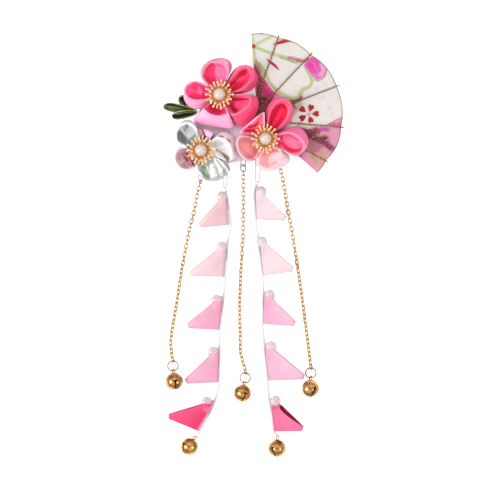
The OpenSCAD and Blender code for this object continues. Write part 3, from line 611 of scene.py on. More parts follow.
def line_distance(points, line):
    """Distance from points to a line, and the share of its length at the nearest place."""
    best = np.full(len(points), 1e9)
    share = np.zeros(len(points))
    sums = run_along(line)
    for k in range(len(line) - 1):
        a, way = line[k], line[k + 1] - line[k]
        f = np.clip(((points - a) @ way) / max(way @ way, 1e-9), 0, 1)
        d = np.linalg.norm(points - a - f[:, None] * way, axis=1)
        near = d < best
        best[near] = d[near]
        share[near] = (sums[k] + f[near] * (sums[k + 1] - sums[k])) / sums[-1]
    return best, share


def blossom_strength(size, centre, points):
    """A small round blossom with five notches, paler in the middle."""
    away = points - centre
    d, a = np.linalg.norm(away, axis=1), np.arctan2(away[:, 1], away[:, 0])
    rim = size * (0.72 + 0.28 * np.abs(np.cos(2.5 * (a + centre[0]))))
    return step(rim * 1.15, rim * 0.6, d) * (0.55 + 0.45 * step(0, size * 0.5, d))


def petal_strength(size, line, points):
    """A printed petal with a notch, from its own middle towards the blossom's."""
    way = unit(line[1] - line[0])
    rel = points - line[0]
    u, v = rel @ way, rel @ left_of(way)
    half = size * (0.92 * np.cos(np.clip(u / size * 1.05, -1.57, 1.57)) * (1 - 0.32 * u / size))
    notch = step(-0.55 * size, -0.95 * size, u) * step(0.3 * size, 0, np.abs(v))
    return step(0.25, -0.25, np.abs(v) - half) * step(-size * 1.02, -size * 0.9, u) * (1 - notch)


def stroke_strength(kind, size, line, points, speck):
    """How much of a stroke's colour each point takes."""
    if kind == "spot":
        return step(size * 1.15, size * 0.8, np.linalg.norm(points - line[0], axis=1))
    if kind == "blossom":
        return blossom_strength(size, line[0], points)
    if kind == "petal":
        return petal_strength(size, line, points)
    if kind == "area":
        closed = spline(np.vstack([line[-1:], line, line[:2]]), 6)[6:-6]
        d, _ = line_distance(points, closed)
        return step(size, -size, np.where(inside(points, closed), -d, d))
    d, share = line_distance(points, spline(line, 6) if len(line) > 2 else line)
    if kind == "line":
        return step(size * 1.25, size * 0.5, d)
    if kind == "dash":
        return step(0.3, -0.3, d - size * np.sin(math.pi * np.clip(share, 0, 1)) ** 0.8)
    return step(size, size * 0.25, d + size * 0.55 * (speck - 0.5))


def paint_print_and_light(points, paint, chart, seed, glints=False):
    """Strokes of a chart laid over the paint of points or rows of points in mm: print, or painted shade and
    highlight.
    """
    points = np.array(points, float).reshape(-1, np.shape(points)[-1])[:, :2]
    shape = np.shape(paint)
    paint = np.array(paint).reshape(-1, 3)
    speck = sum(share * value_noise(points, scale, seed + k) for k, (share, scale) in enumerate(SPECKS))
    for kind, colour, strength, size, line in chart:
        line = photo(line)
        size_mm = size * PX
        reach_out = size_mm * 1.6 + 0.4
        low, high = line.min(0) - reach_out, line.max(0) + reach_out
        near = np.where(np.all((points > low) & (points < high), axis=1))[0]
        if len(near) == 0:
            continue
        f = strength * stroke_strength(kind, size_mm, line, points[near], speck[near])
        laid_on = rgb(colour)
        if kind == "spray":
            f = np.clip(f * (SPRAY_LEAST + SPRAY_SPECK * speck[near]), 0, 1)
            if glints and sum(colour) < DARK_SUM:
                glint = step(*GLINT_BAND, value_noise(points[near], GLINT_SCALE, seed + GLINT_SEED))
                laid_on = mix(laid_on, rgb(GLINT), GLINT_STRENGTH * glint[:, None])
        paint[near] = mix(paint[near], laid_on, f[:, None])
    return paint.reshape(shape)


def fan_point(angle, r):
    return fan_apex + r * heading(angle)


def rim_radius(angle):
    """Radius of the fan's rim at an angle."""
    for (a0, r0, sag), (a1, r1, _) in zip(fan_rim, fan_rim[1:]):
        if a1 - 1e-9 <= angle <= a0 + 1e-9:
            f = (angle - a0) / (a1 - a0)
            return mix(r0, r1, f) - sag * 4 * f * (1 - f)
    return fan_rim[0][1]


def cord_tip(index):
    angle, r, _ = fan_rim[index + 1]
    return fan_point(angle, r + FAN_CORD_GAP + FAN_CORD_D / 2)


def build_fan():
    half_span = math.radians(fan_rim[0][0] - fan_rim[-1][0]) / 2
    middle = (fan_rim[0][0] + fan_rim[-1][0]) / 2
    flat = []
    for f in np.linspace(0, 1, FAN_RUNS):
        for angle in np.linspace(fan_rim[-1][0], fan_rim[0][0], FAN_TURNS):
            r = mix(FAN_FIRST_R, rim_radius(angle) - FAN_EDGE, f)
            squeeze = min(1, (half_span * r - FAN_EDGE) / (half_span * r))
            flat.append(fan_point(middle + (angle - middle) * squeeze, r))
    flat = np.array(flat)
    near_cord = np.min([line_distance(flat, np.array([fan_cord_root, cord_tip(k)]))[0]
                        for k in range(FAN_CORDS)], axis=0)
    f = np.repeat(np.linspace(0, 1, FAN_RUNS), FAN_TURNS)
    puff = PUFF * (1 - hill(near_cord, 0, PUFF_W)) * mix(PUFF_RIM, 1, step(*PUFF_DOWN, f))
    puff += CREASE * (value_noise(flat, CREASE_SCALE, CREASE_SEED) - 0.5)
    z = FAN_TOP + puff * step(*PUFF_UP, f)
    paint = np.tile(FAN_CLOTH, (len(flat), 1))
    paint = PRINT_FILL * paint_print_and_light(flat, paint, fan_print, FAN_SEED, glints=True)
    # Painted shade on the rim's band, and on the hem below, darker step by step down it
    paint = mix(paint, FAN_RIM_SHADE, RIM_SHADE_SHARE * step(*RIM_BAND, f)[:, None])
    top = np.column_stack([flat, z]).reshape(FAN_RUNS, FAN_TURNS, 3)
    skin = Skin()
    skin.grid(top, paint.reshape(FAN_RUNS, FAN_TURNS, 3), closed=False)
    index = np.arange(FAN_RUNS * FAN_TURNS).reshape(FAN_RUNS, FAN_TURNS)
    loop = np.concatenate([index[0, :-1], index[:-1, -1], index[-1, :0:-1], index[:0:-1, 0]])
    ring = top.reshape(-1, 3)[loop]
    skirt, colours = [ring], [paint[loop]]
    for k, (away, drop) in enumerate(fan_skirt):
        height = ring[:, 2] + drop if drop > SKIRT_TURN else np.full(len(ring), FAN_TOP + drop)
        skirt.append(np.column_stack([ring[:, :2] + outward(ring) * away, height]))
        colours.append(mix(paint[loop], FAN_HEM_SHADE, min(1, HEM_STEP * k)))
    skin.grid(skirt, colours, caps=False)
    skin.close(skin.count - len(loop), len(loop), (*fan_point(middle, FAN_BACK_R), FAN_Z), FAN_BACK_TONE)
    return skin


build_fan().build("fan_cloth", printed, "fan_panel", "fan_cloth")
for k in range(FAN_CORDS):
    tip = cord_tip(k)
    way = unit(tip - fan_cord_root)
    run = np.linalg.norm(tip - fan_cord_root) - FAN_CORD_START
    top_z = FAN_TOP + FAN_CORD_GAP + FAN_CORD_D / 2
    low_z = FAN_Z - FAN_CORD_GAP - FAN_CORD_D / 2
    # Back from the tip, and the height: over the fan's face, down its edge and in under it
    rows = [(run, top_z), (run / 2, top_z + 0.02), (2, top_z), (0.35, top_z - 0.06), (0.02, top_z - 0.45),
            (0, (top_z + low_z) / 2), (0.02, low_z + 0.45), (0.35, low_z + 0.04), (2, low_z)]
    skin = Skin()
    twisted(skin, spline([(*(tip - way * back), z) for back, z in rows], 10), FAN_CORD_D / 2 * FAN_CORD_FULL,
            FAN_CORD_PLIES, FAN_CORD_PITCH, FAN_CORD_CUT, FAN_CORD_TONES, knot_at=run - KNOT_BACK)
    skin.build(f"gold_fan_cord_{k + 1}", gold_thread, f"fan_cord_{k + 1}", "gold_thread")

# Flower petals

PETAL_H = 7.6
PETAL_INNER_H = 2.6
LIP = 0.9
RIM_SHARE = 0.9
ROOT_R = 2.3
ROOT_STEP = 1.2
HIGH_Z = 10.3
LOW_Z = 8.6
PLEATS = 7
LEAST_DEPTH = 0.5
LEAST_HALF_SPAN = 2
# Where across a petal its end radii are charted, and how much of them its round outline has there
SHOULDER_X = 0.75
SHOULDER = 0.86
flowers = {"a": (-6.7, 18.3, HIGH_Z), "b": (14.4, -2, HIGH_Z), "c": (-15.2, -7.2, LOW_Z)}
petals = {
    # from, to, r_from, r_mid, r_to, mouth from, to, r_from, r_mid, r_to, fullness, pleat
    "a": [(64, 139, 17.2, 16.8, 14.8, 68, 135, 14.6, 15.4, 13.6, 3.6, 0),
          (4, 62, 17.4, 19.9, 17.8, 12, 51, 12.8, 16.6, 17.2, 3.6, 0),
          (-60, 2, 19.2, 19.2, 18.6, -58, -3, 12, 12.9, 13.4, 4, 0),
          (-138, -63, 16.6, 14.8, 16.2, -136, -65, 9.6, 9.8, 9.2, 5.5, 0),
          (142, 220, 13.8, 16.5, 13.9, 147, 197, 12.6, 15.6, 13, 3.2, 0)],
    "b": [(30, 89, 17.2, 21, 19.2, 42, 80, 16.2, 19.4, 16.4, 2.8, 0),
          (-31, 27, 18.6, 19.8, 17.4, -30, 17, 16.9, 17.2, 12.8, 3.4, 0),
          (-111, -33, 14.6, 14.9, 15.8, -107, -40, 12.9, 13.2, 11.2, 3.4, 0),
          (171, 246, 13.7, 14, 13.2, 174, 242, 12.9, 13.1, 12.2, 3.2, 0),
          (92, 167, 11.2, 9.6, 11.2, 95, 164, 10.8, 9.4, 10.8, 7, 0)],
    "c": [(99, 165, 15.4, 15.8, 12.9, 103, 163, 12.6, 14.1, 11.6, 3.2, 0),
          (170, 252, 12.3, 13, 11.4, 173, 249, 11.2, 12.2, 10.4, 3.2, 0),
          (255, 334, 12.8, 15.2, 17, 259, 331, 10.8, 12.6, 13.2, 3.2, 0.3),
          (-23, 47, 16.5, 16.9, 15.2, -22, 38, 13.8, 13.2, 10.9, 3.7, 0),
          (50, 96, 10.3, 10, 10.6, 54, 92, 8.8, 8.6, 8.8, 5, 0.25)]}
# How deep each cup looks: 1 is the whole cup, and a pleated or nearly closed one is shallow
petal_depth = {"a": (0.8, 1, 1, 1, 0.9), "b": (1, 1, 1, 1, 1), "c": (1, 1, 0.15, 1, 0.3)}
cup_rings = [
    # share of the way from the foot's outline to the mouth's, inset, height
    (0, 0, 0), (0.55, -0.2, 0.62), (1, -LIP, RIM_SHARE), (1, -LIP / 2, 1), (1, 0, 0.94), (1, 0.9, 0.52),
    (1, 2.1, 0.2)]
CUP_STEPS = 9
CUP_DEEP = (4, 6)
CUP_LIP = (1.4, 2.2)
CUP_INSIDE = (3.7, 4.4)
# Further rings over the cup's floor, each a share of the way to its middle
FLOOR_SHARES = (0.3, 0.6, 0.85)
FOLD_W = 0.22
FOLD_BLEND = 0.12
# Shares of the fold's colour, a painted highlight on its ridge, and of the floor's colour, painted shade
# deep in the cup
FOLD_SHARE = 0.7
FLOOR_SHARE = 0.75
FLOOR_SINK = 0.2
PETAL_TURNS = 120
petal_slots = {"a": "petal_hot_pink", "b": "petal_pink", "c": "petal_print"}
# The pale walls and lips of flowers a and b are painted highlight; the insides before and after the fold are
# its painted lit and shaded sides; the fold's colour is a painted highlight on its ridge; the floor is
# painted shade deep in the cup
petal_looks = {
    # wall, lip, inside before the fold, inside after it, floor, fold's place, fold's colour, fold's height
    "a": [
        ((236, 112, 160), (253, 172, 203), (250, 118, 164), (240, 58, 108),
            (214, 40, 90), -0.1, (252, 134, 174), 0.9),
        ((246, 78, 128), (253, 108, 148), (247, 64, 110), (222, 34, 84),
            (190, 14, 52), 0.35, (250, 92, 134), 1.0),
        ((254, 86, 134), (254, 120, 160), (246, 82, 132), (232, 48, 98),
            (190, 4, 42), 0.3, (250, 100, 146), 0.8),
        ((253, 172, 206), (254, 176, 208), (226, 48, 100), (220, 44, 94),
            (196, 36, 80), 0.0, (232, 60, 110), 0.4),
        ((252, 168, 203), (252, 170, 204), (250, 104, 158), (232, 66, 118),
            (212, 42, 92), -0.1, (251, 120, 168), 0.6)],
    "b": [
        ((252, 84, 134), (252, 106, 150), (222, 26, 74), (212, 14, 60),
            (190, 8, 48), 0.25, (242, 66, 116), 1.0),
        ((248, 116, 162), (254, 158, 194), (236, 60, 110), (252, 92, 148),
            (214, 28, 80), 0.1, (253, 130, 172), 0.8),
        ((236, 202, 214), (251, 214, 214), (252, 206, 210), (240, 146, 152),
            (232, 126, 134), -0.1, (252, 206, 206), 0.6),
        ((250, 184, 196), (253, 200, 210), (236, 152, 156), (232, 138, 144),
            (222, 124, 132), 0.2, (246, 176, 178), 0.6),
        ((240, 100, 142), (254, 172, 204), (222, 64, 112), (218, 56, 104),
            (196, 14, 58), 0.0, (238, 100, 144), 0.3)],
    "c": [
        ((214, 210, 214), (236, 232, 234), (206, 211, 213), (168, 171, 168),
            (122, 122, 118), 0.1, (214, 214, 212), 0.5),
        ((224, 214, 222), (238, 228, 222), (214, 176, 182), (206, 166, 172),
            (170, 130, 136), 0.0, (232, 196, 200), 0.4),
        ((176, 178, 172), (226, 230, 228), (150, 154, 148), (190, 192, 188),
            (150, 154, 148), -0.35, (226, 227, 224), 0.3),
        ((222, 210, 218), (240, 236, 230), (214, 216, 212), (216, 212, 212),
            (176, 170, 168), 0.1, (228, 228, 226), 0.5),
        ((214, 166, 192), (226, 184, 206), (222, 180, 206), (186, 124, 150),
            (150, 80, 110), 0.0, (230, 190, 202), 0.3)]}
# Gains for the light that folds keep away: by ring in the table, and by petal
ring_gain = [(0, 1.35), (1.5, 1.25), (3, 1), (4, 1.3), (6, 1.65), (6.9, 1.7)]
petal_gain = {"a1": 0.88, "a3": 0.92, "a4": 1.12, "a5": 1.05, "b4": 0.93, "b5": 1.35, "c1": 1.15, "c3": 1.15,
              "c4": 1.25, "c5": 1.2}
PAINT_MOST = 0.96
petal_print = {
    # strokes over the petals, in the fan's form: painted shade and highlight, a white speck on a3, and on
    # flower c its cloth's print as well
    "a1": [
        ("area", (240, 58, 108), 0.9, 0.8, [(204.5, 77.5), (205.5, 71), (208.5, 66.5), (212.5, 64.3),
            (215.3, 66), (215.2, 72), (214.6, 78), (213, 83), (208, 81.5)]),
        ("spray", (222, 40, 92), 0.8, 2.6, [(206.5, 78.5), (210, 81), (214, 82.5)]),
        ("spray", (222, 45, 100), 0.8, 1.6, [(212, 65), (215, 66.5)]),
        ("area", (250, 118, 164), 0.9, 0.5, [(216, 68), (219, 66), (224, 68.5), (225.8, 73), (224.5, 80),
            (221, 82), (216, 80)]),
        ("line", (196, 130, 164), 0.8, 1.2, [(209.5, 62.6), (216.4, 60), (223.5, 59.8), (228.5, 61.8),
            (229.3, 66)]),
        ("line", (214, 110, 158), 0.8, 1.2, [(229.3, 66), (230, 72), (229.3, 78)]),
        ("line", (254, 184, 210), 0.9, 1.0, [(203, 75), (204.8, 69.5), (208.5, 65), (213, 62.8),
            (219, 63.3), (224, 65.5), (227.2, 70)]),
        ("line", (253, 165, 198), 0.9, 1.0, [(227.2, 70), (227, 76), (225, 82)])],
    "a2": [
        ("line", (250, 90, 140), 0.9, 1.8, [(229, 78), (234, 71), (239.5, 66.2), (244, 64.8)]),
        ("line", (206, 110, 150), 0.7, 0.8, [(229.8, 74.5), (234.5, 67), (240.2, 63.2), (246, 63.6)]),
        ("line", (253, 110, 150), 0.9, 1.0, [(229.5, 80), (234.8, 73.3), (240.1, 68.9), (244.8, 67.1)]),
        ("line", (253, 128, 164), 0.6, 0.7, [(231.6, 82.3), (236.3, 76.2), (240.7, 71.8), (246.5, 69.1)]),
        ("spray", (190, 0, 40), 0.9, 1.8, [(238, 76.5), (241.5, 72.6), (246, 70.6)]),
        ("spray", (215, 20, 70), 0.8, 2.4, [(236, 81), (240, 76.5), (246, 73)]),
        ("spray", (240, 70, 110), 0.8, 3.2, [(238, 80.5), (243, 78)]),
        ("spray", (245, 50, 105), 0.9, 2.8, [(246, 80), (249.5, 77)]),
        ("spray", (215, 25, 80), 0.8, 3, [(237, 85), (243, 84)]),
        ("line", (185, 0, 30), 0.9, 1.3, [(233.2, 91), (237, 89.6), (242, 87)]),
        ("line", (253, 100, 145), 0.95, 1.1, [(253.2, 69.7), (253.5, 77.1), (251.2, 81.8), (246.5, 86.7),
            (237.7, 91.8)]),
        ("area", (238, 60, 110), 0.9, 0.7, [(253.8, 68), (257, 77), (258.2, 83), (257.4, 88.8), (253, 90),
            (247.5, 90.5), (249, 87), (253.2, 82.6), (255.2, 77.2)])],
    "a3": [
        ("area", (254, 86, 134), 0.9, 0.8, [(251, 96), (256, 97.5), (259.6, 101), (259.5, 106), (250, 116),
            (238, 127.5), (233, 124.5), (231.5, 118), (240, 114.5), (248, 108.5), (251.2, 101)]),
        ("area", (246, 82, 132), 0.95, 0.6, [(236, 101.5), (248.6, 101), (247.5, 106), (243, 110.5),
            (238, 110), (234.5, 105)]),
        ("area", (184, 0, 36), 0.95, 0.6, [(229.5, 103.5), (233.5, 106.5), (237.5, 110.8), (238.5, 112.5),
            (235.5, 114.5), (233, 112)]),
        ("area", (250, 96, 142), 0.9, 0.5, [(234, 98), (240, 95.5), (249, 95.5), (249.5, 99), (242, 98.5),
            (236, 98.8)]),
        ("line", (204, 0, 48), 0.95, 1.1, [(232, 100.2), (235, 99.8), (242, 99.8), (248.5, 100.2)]),
        ("line", (254, 140, 176), 0.9, 0.9, [(233.5, 97.2), (240.5, 94.8), (249.2, 94.6)]),
        ("line", (254, 140, 176), 0.9, 1.0, [(249.6, 95.5), (250, 101.5), (247, 107.5), (240.5, 112.6),
            (234, 115.4)]),
        ("spot", (255, 226, 236), 0.9, 1.2, [(251.3, 94.5)])],
    "a4": [
        ("area", (253, 172, 206), 0.9, 0.8, [(197, 108), (204, 111), (212, 116), (221, 118), (228, 117),
            (231, 119), (229, 126), (221, 129), (210, 128.6), (200, 125.5), (195.5, 122)]),
        ("area", (226, 48, 100), 0.95, 0.6, [(203, 105.5), (208, 108), (214, 109.5), (220, 109), (224, 110),
            (227, 112.5), (225.5, 115), (220, 115.5), (214, 114.7), (208, 111.5), (204, 108)]),
        ("line", (190, 40, 80), 0.8, 0.9, [(204.5, 109.2), (209, 112.4), (215, 115.4), (221, 116)]),
        ("line", (254, 176, 208), 0.9, 0.9, [(222.6, 107.4), (226.8, 109.2), (229, 113), (227, 116.2),
            (220, 117.2), (212, 115.8)]),
        ("line", (255, 200, 222), 0.6, 0.8, [(195.5, 124), (201, 125.4), (207, 126)])],
    "a5": [
        ("area", (252, 168, 203), 0.9, 0.7, [(184.8, 95.5), (190, 99.5), (196, 101), (203, 100.3),
            (202, 106), (200, 111), (196.5, 112.5), (190, 108)]),
        ("spray", (253, 96, 152), 0.9, 3.6, [(188.5, 90), (189.5, 94)]),
        ("line", (224, 52, 108), 0.9, 1.6, [(193, 84.5), (196.5, 84.6), (200, 86), (203, 88.6)]),
        ("line", (226, 62, 114), 0.9, 1.4, [(196, 86), (195.2, 90.5), (195.8, 95)]),
        ("spray", (250, 112, 164), 0.9, 3.2, [(199.5, 89), (200.5, 93)]),
        ("line", (212, 42, 92), 0.9, 1.6, [(190, 97), (194, 98.6), (199, 98.8), (204, 98)]),
        ("line", (252, 168, 202), 0.9, 1.0, [(184.8, 93), (186.5, 87.5), (190, 84), (194.5, 82.3),
            (200.5, 82.5), (206, 85)])],
    "b1": [
        ("area", (214, 14, 60), 0.9, 0.8, [(272.6, 110), (277, 106), (282.5, 103.8), (286, 107.5),
            (286.6, 113.5), (285, 119.5), (280, 126), (276, 129.5), (271.5, 127), (269.8, 120),
            (270.5, 115)]),
        ("spray", (196, 8, 52), 0.7, 2.2, [(271.5, 116), (272, 122)]),
        ("spray", (232, 44, 92), 0.6, 2.2, [(284, 110), (284, 116)]),
        ("line", (242, 66, 116), 0.9, 1.5, [(282, 107.5), (280.5, 112), (277, 118.5), (274, 123.5)]),
        ("line", (253, 122, 164), 0.95, 1.0, [(284, 103), (287.6, 107.5), (288, 113.7), (286, 120.5),
            (280.5, 128)]),
        ("line", (253, 108, 152), 0.8, 0.9, [(269.4, 113), (272.4, 108.6), (277, 104.8), (283, 102.6)])],
    "b2": [
        ("area", (248, 116, 162), 0.9, 0.7, [(282, 132.5), (291, 127), (300, 127), (304.5, 129.5),
            (306.5, 136.5), (308, 143), (303, 141), (297, 135.5), (288.3, 131.8)]),
        ("area", (252, 128, 164), 0.9, 0.7, [(283, 136.5), (288.3, 135), (295, 138), (300, 142.5),
            (300.5, 147), (296, 149.5), (289, 147), (283.5, 142)]),
        ("spray", (214, 28, 80), 0.9, 2.4, [(285.5, 148.6), (291, 151), (297, 151.4)]),
        ("line", (204, 14, 64), 0.7, 0.8, [(286, 134.8), (292, 136.6), (298, 141)]),
        ("spray", (253, 150, 190), 0.8, 1.8, [(302.4, 146), (303.2, 150)]),
        ("line", (254, 158, 194), 0.95, 1.0, [(279.5, 135.2), (288.5, 133.4), (296.6, 137.6),
            (302.4, 143.4), (306.2, 148)]),
        ("line", (236, 190, 206), 0.7, 0.9, [(308, 139), (308.6, 144), (307.8, 150)]),
        ("line", (250, 110, 156), 0.9, 1.1, [(281, 146), (285, 150.6), (290, 154), (296, 154.6),
            (302, 153.6), (306.5, 150.5)])],
    "b3": [
        ("area", (242, 182, 186), 0.9, 0.7, [(258.5, 164), (261, 158.5), (266, 154.5), (270, 155),
            (268.5, 160), (265.5, 165.2), (261.5, 166.5)]),
        ("area", (252, 206, 210), 0.95, 0.6, [(270, 154.5), (276, 152.5), (282, 153), (281, 158),
            (277, 161.5), (270, 164.5), (268, 163)]),
        ("area", (236, 202, 214), 0.9, 0.6, [(284.5, 153), (288, 156), (290.6, 162.3), (281, 167),
            (272, 170), (272, 168.6), (280, 163), (284, 157)]),
        ("line", (251, 214, 214), 0.95, 1.0, [(257.5, 165.5), (261.5, 167.8), (269, 167.6), (278, 162.5),
            (283, 154.5)])],
    "b4": [
        ("area", (234, 156, 158), 0.95, 0.7, [(239.8, 138.5), (248.5, 138.5), (250.5, 145), (253, 152),
            (250, 160), (246.5, 160), (242.5, 151), (240, 144)]),
        ("spray", (222, 124, 132), 0.8, 2.4, [(249, 156), (254, 160.5)]),
        ("line", (253, 200, 210), 0.95, 1.0, [(236.6, 136.5), (238.6, 147), (241.6, 154.5), (245, 160.2)]),
        ("line", (250, 184, 196), 0.9, 0.9, [(238.5, 136.6), (244, 136.4), (250.5, 138.2)])],
    "b5": [
        ("area", (234, 136, 154), 0.9, 0.7, [(243, 131.5), (250, 125.5), (257, 119), (263, 113),
            (263.2, 118), (262, 124.5), (256, 128), (250, 129.5), (245, 131.5)]),
        ("spray", (196, 14, 58), 0.9, 2.2, [(249, 127), (254, 126), (258, 123.5)]),
        ("line", (190, 20, 60), 0.9, 0.9, [(243.5, 130.6), (250, 130.8), (257.5, 132.5)]),
        ("area", (240, 100, 142), 0.9, 0.5, [(241, 133.5), (248, 132.5), (255, 134), (252, 136),
            (246, 135.5)]),
        ("line", (254, 176, 206), 0.95, 1.0, [(240, 133), (250, 123.5), (258, 116), (264.7, 110.6)]),
        ("line", (254, 168, 200), 0.9, 1.0, [(264.7, 110.6), (264.6, 116), (263.6, 124.5)])],
    "c1": [
        ("spray", (196, 192, 184), 0.8, 2, [(184, 118), (190, 117.4)]),
        ("area", (104, 102, 98), 0.95, 0.8, [(180.7, 130.9), (184.5, 135.2), (186.7, 141.7), (182.9, 143.9),
            (178, 141.5), (177.2, 136), (178, 132)]),
        ("spray", (128, 140, 126), 0.7, 1.6, [(177.5, 144.5), (182, 145)]),
        ("area", (206, 211, 213), 0.9, 0.8, [(186.5, 129.5), (192, 129), (194.5, 133), (191.5, 137.5),
            (187.5, 137)]),
        ("spot", (110, 116, 112), 0.8, 1.9, [(187, 126.5)]),
        ("line", (238, 234, 236), 0.95, 0.9, [(177, 146), (175.6, 138), (176.2, 131), (178.8, 127),
            (183, 124), (188.5, 122.4), (192.5, 125), (196.4, 130.8)])],
    "c2": [
        ("area", (224, 220, 234), 0.9, 0.5, [(175.5, 151.5), (177.5, 147.5), (183, 146), (188, 145.6),
            (188.5, 147.5), (182, 149.6), (177, 153)]),
        ("line", (250, 202, 213), 0.8, 0.8, [(180, 152.6), (186, 151.4), (190, 153)]),
        ("line", (250, 202, 213), 0.8, 0.8, [(181, 156), (186, 159.4), (191, 163.4)]),
        ("line", (250, 202, 213), 0.7, 0.7, [(186, 164), (190, 167), (192.6, 169)]),
        ("dash", (150, 20, 46), 1.0, 1.3, [(185.6, 152.4), (188, 155), (190.4, 158.4)]),
        ("dash", (150, 20, 46), 1.0, 1.3, [(182.6, 156.4), (186, 158.8), (189.4, 161.6)]),
        ("dash", (150, 20, 46), 1.0, 1.2, [(191.4, 161.2), (193.4, 164), (195.2, 167.4)]),
        ("line", (238, 228, 222), 0.9, 0.9, [(197.8, 161), (197, 166), (194.5, 169.5), (191, 171)])],
    "c3": [
        ("area", (100, 108, 96), 0.9, 0.8, [(200.5, 168.5), (204, 165.5), (207.5, 170), (210.2, 177.5),
            (208, 180.5), (203.5, 177.5)]),
        ("spray", (118, 152, 120), 0.7, 1.8, [(206.5, 170), (207.5, 175)]),
        ("area", (226, 232, 230), 0.95, 0.5, [(209.5, 164.5), (212.5, 166), (214.8, 175.5), (212.5, 178),
            (210.3, 171)]),
        ("line", (237, 238, 237), 0.95, 0.9, [(214.5, 160), (219.6, 168.5), (222, 175.5)]),
        ("line", (237, 238, 237), 0.95, 0.9, [(218, 159.5), (225.3, 167), (228, 172.2)]),
        ("line", (237, 238, 237), 0.95, 0.8, [(222, 160.5), (230, 166), (232.5, 168.8)]),
        ("line", (124, 126, 122), 0.85, 0.8, [(212.6, 160.5), (216.5, 169), (218.6, 176.8)]),
        ("line", (124, 126, 122), 0.85, 0.8, [(216.3, 159.8), (222.6, 168), (225, 173.8)]),
        ("line", (124, 126, 122), 0.85, 0.7, [(219.8, 160), (228, 167), (230.3, 170.6)])],
    "c4": [
        ("area", (224, 208, 222), 0.9, 0.7, [(231, 140), (235, 136.5), (238.5, 150), (239.5, 157),
            (234.5, 160), (233, 150)]),
        ("spray", (196, 214, 208), 0.9, 2.6, [(218, 143.6), (222.5, 146.4)]),
        ("spray", (226, 206, 208), 0.8, 2.4, [(226, 149), (229.4, 152.4)]),
        ("area", (108, 84, 74), 0.95, 0.6, [(221, 152.2), (225, 154), (229.3, 157.2), (229.6, 160),
            (227.6, 162.4), (224.5, 158.5)]),
        ("line", (120, 100, 88), 0.9, 0.8, [(216.5, 149.8), (219, 151), (221.5, 152.8)]),
        ("area", (140, 104, 94), 0.9, 0.4, [(218.6, 136.6), (221, 135.6), (223.8, 136.8), (224, 138),
            (221.5, 138.2)]),
        ("area", (150, 110, 102), 0.9, 0.4, [(226, 139), (229.8, 140), (231.2, 143.2), (229, 142.6)]),
        ("line", (242, 238, 234), 0.95, 0.9, [(214, 139), (219.2, 138.9), (224.6, 142.6), (230.2, 148.6),
            (232, 154.8), (230.6, 161.5), (228.5, 163.2), (224.6, 162.4), (219, 157), (216.4, 154)])],
    "c5": [
        ("area", (222, 180, 206), 0.9, 0.6, [(203.5, 127.5), (212, 129), (214.5, 131), (211, 136.5),
            (207, 137.5)]),
        ("area", (186, 124, 150), 0.9, 0.6, [(196, 127), (200, 127), (204.5, 137), (201, 136),
            (197.5, 132)]),
        ("line", (104, 46, 74), 0.95, 0.9, [(200.4, 126.4), (203.2, 131.5), (205.9, 138)]),
        ("line", (118, 56, 80), 0.9, 0.8, [(217.5, 130), (214.5, 134), (211.3, 138.6)]),
        ("spot", (90, 40, 60), 0.8, 1.2, [(225.7, 130.7)])]}


def full(x, n):
    """A circle's coordinate, made that of a squarer ring by n over 2."""
    return np.sign(x) * np.abs(x) ** (2 / n)


def even_turns(n, count):
    """Angles at which the squarer ring has even steps."""
    t = np.linspace(0, 2 * math.pi, 4001)
    sums = run_along(np.column_stack([full(np.cos(t), n), full(np.sin(t), n)]))
    return np.interp(np.arange(count) / count * sums[-1], sums, t)


def round_row(centre, a, r, z):
    """Points round a centre at angles a."""
    return np.column_stack([centre[0] + r * np.cos(a), centre[1] + r * np.sin(a), np.full(len(a), z)])


def reach(x, r_from, r_mid, r_to):
    """How far out a petal's end runs at the share x across it, from -1 to 1."""
    q = x / SHOULDER_X
    a, b = r_mid + (r_from - r_mid) / SHOULDER, r_mid + (r_to - r_mid) / SHOULDER
    return r_mid + (b - a) / 2 * q + ((a + b) / 2 - r_mid) * q * q


def cup_ring(p, f, t, ring):
    """Points of one ring of a petal, with the share across it and out along it."""
    share, inset, height = ring
    s, c = full(np.sin(t), p[10]), full(np.cos(t), p[10])
    out = (1 + c) / 2
    first, last, *radii = (mix(p[k], p[5 + k], share) for k in range(5))
    root = ROOT_R + ROOT_STEP * share + inset
    r = mix(root, np.maximum(reach(s, *radii) - inset, root + LEAST_DEPTH), out)
    r += p[11] * (1 - share * 0.4) * np.cos(t * PLEATS) * out
    pinch = math.degrees(inset / ((ROOT_R + 2 * p[8]) / 3))
    a = np.clip((first + last) / 2 + s * max((last - first) / 2 - pinch, LEAST_HALF_SPAN), p[0], p[1])
    z = mix(PETAL_INNER_H, PETAL_H, out ** 0.75) * height
    return round_row(f, np.radians(a), r, f[2] + z), s, out


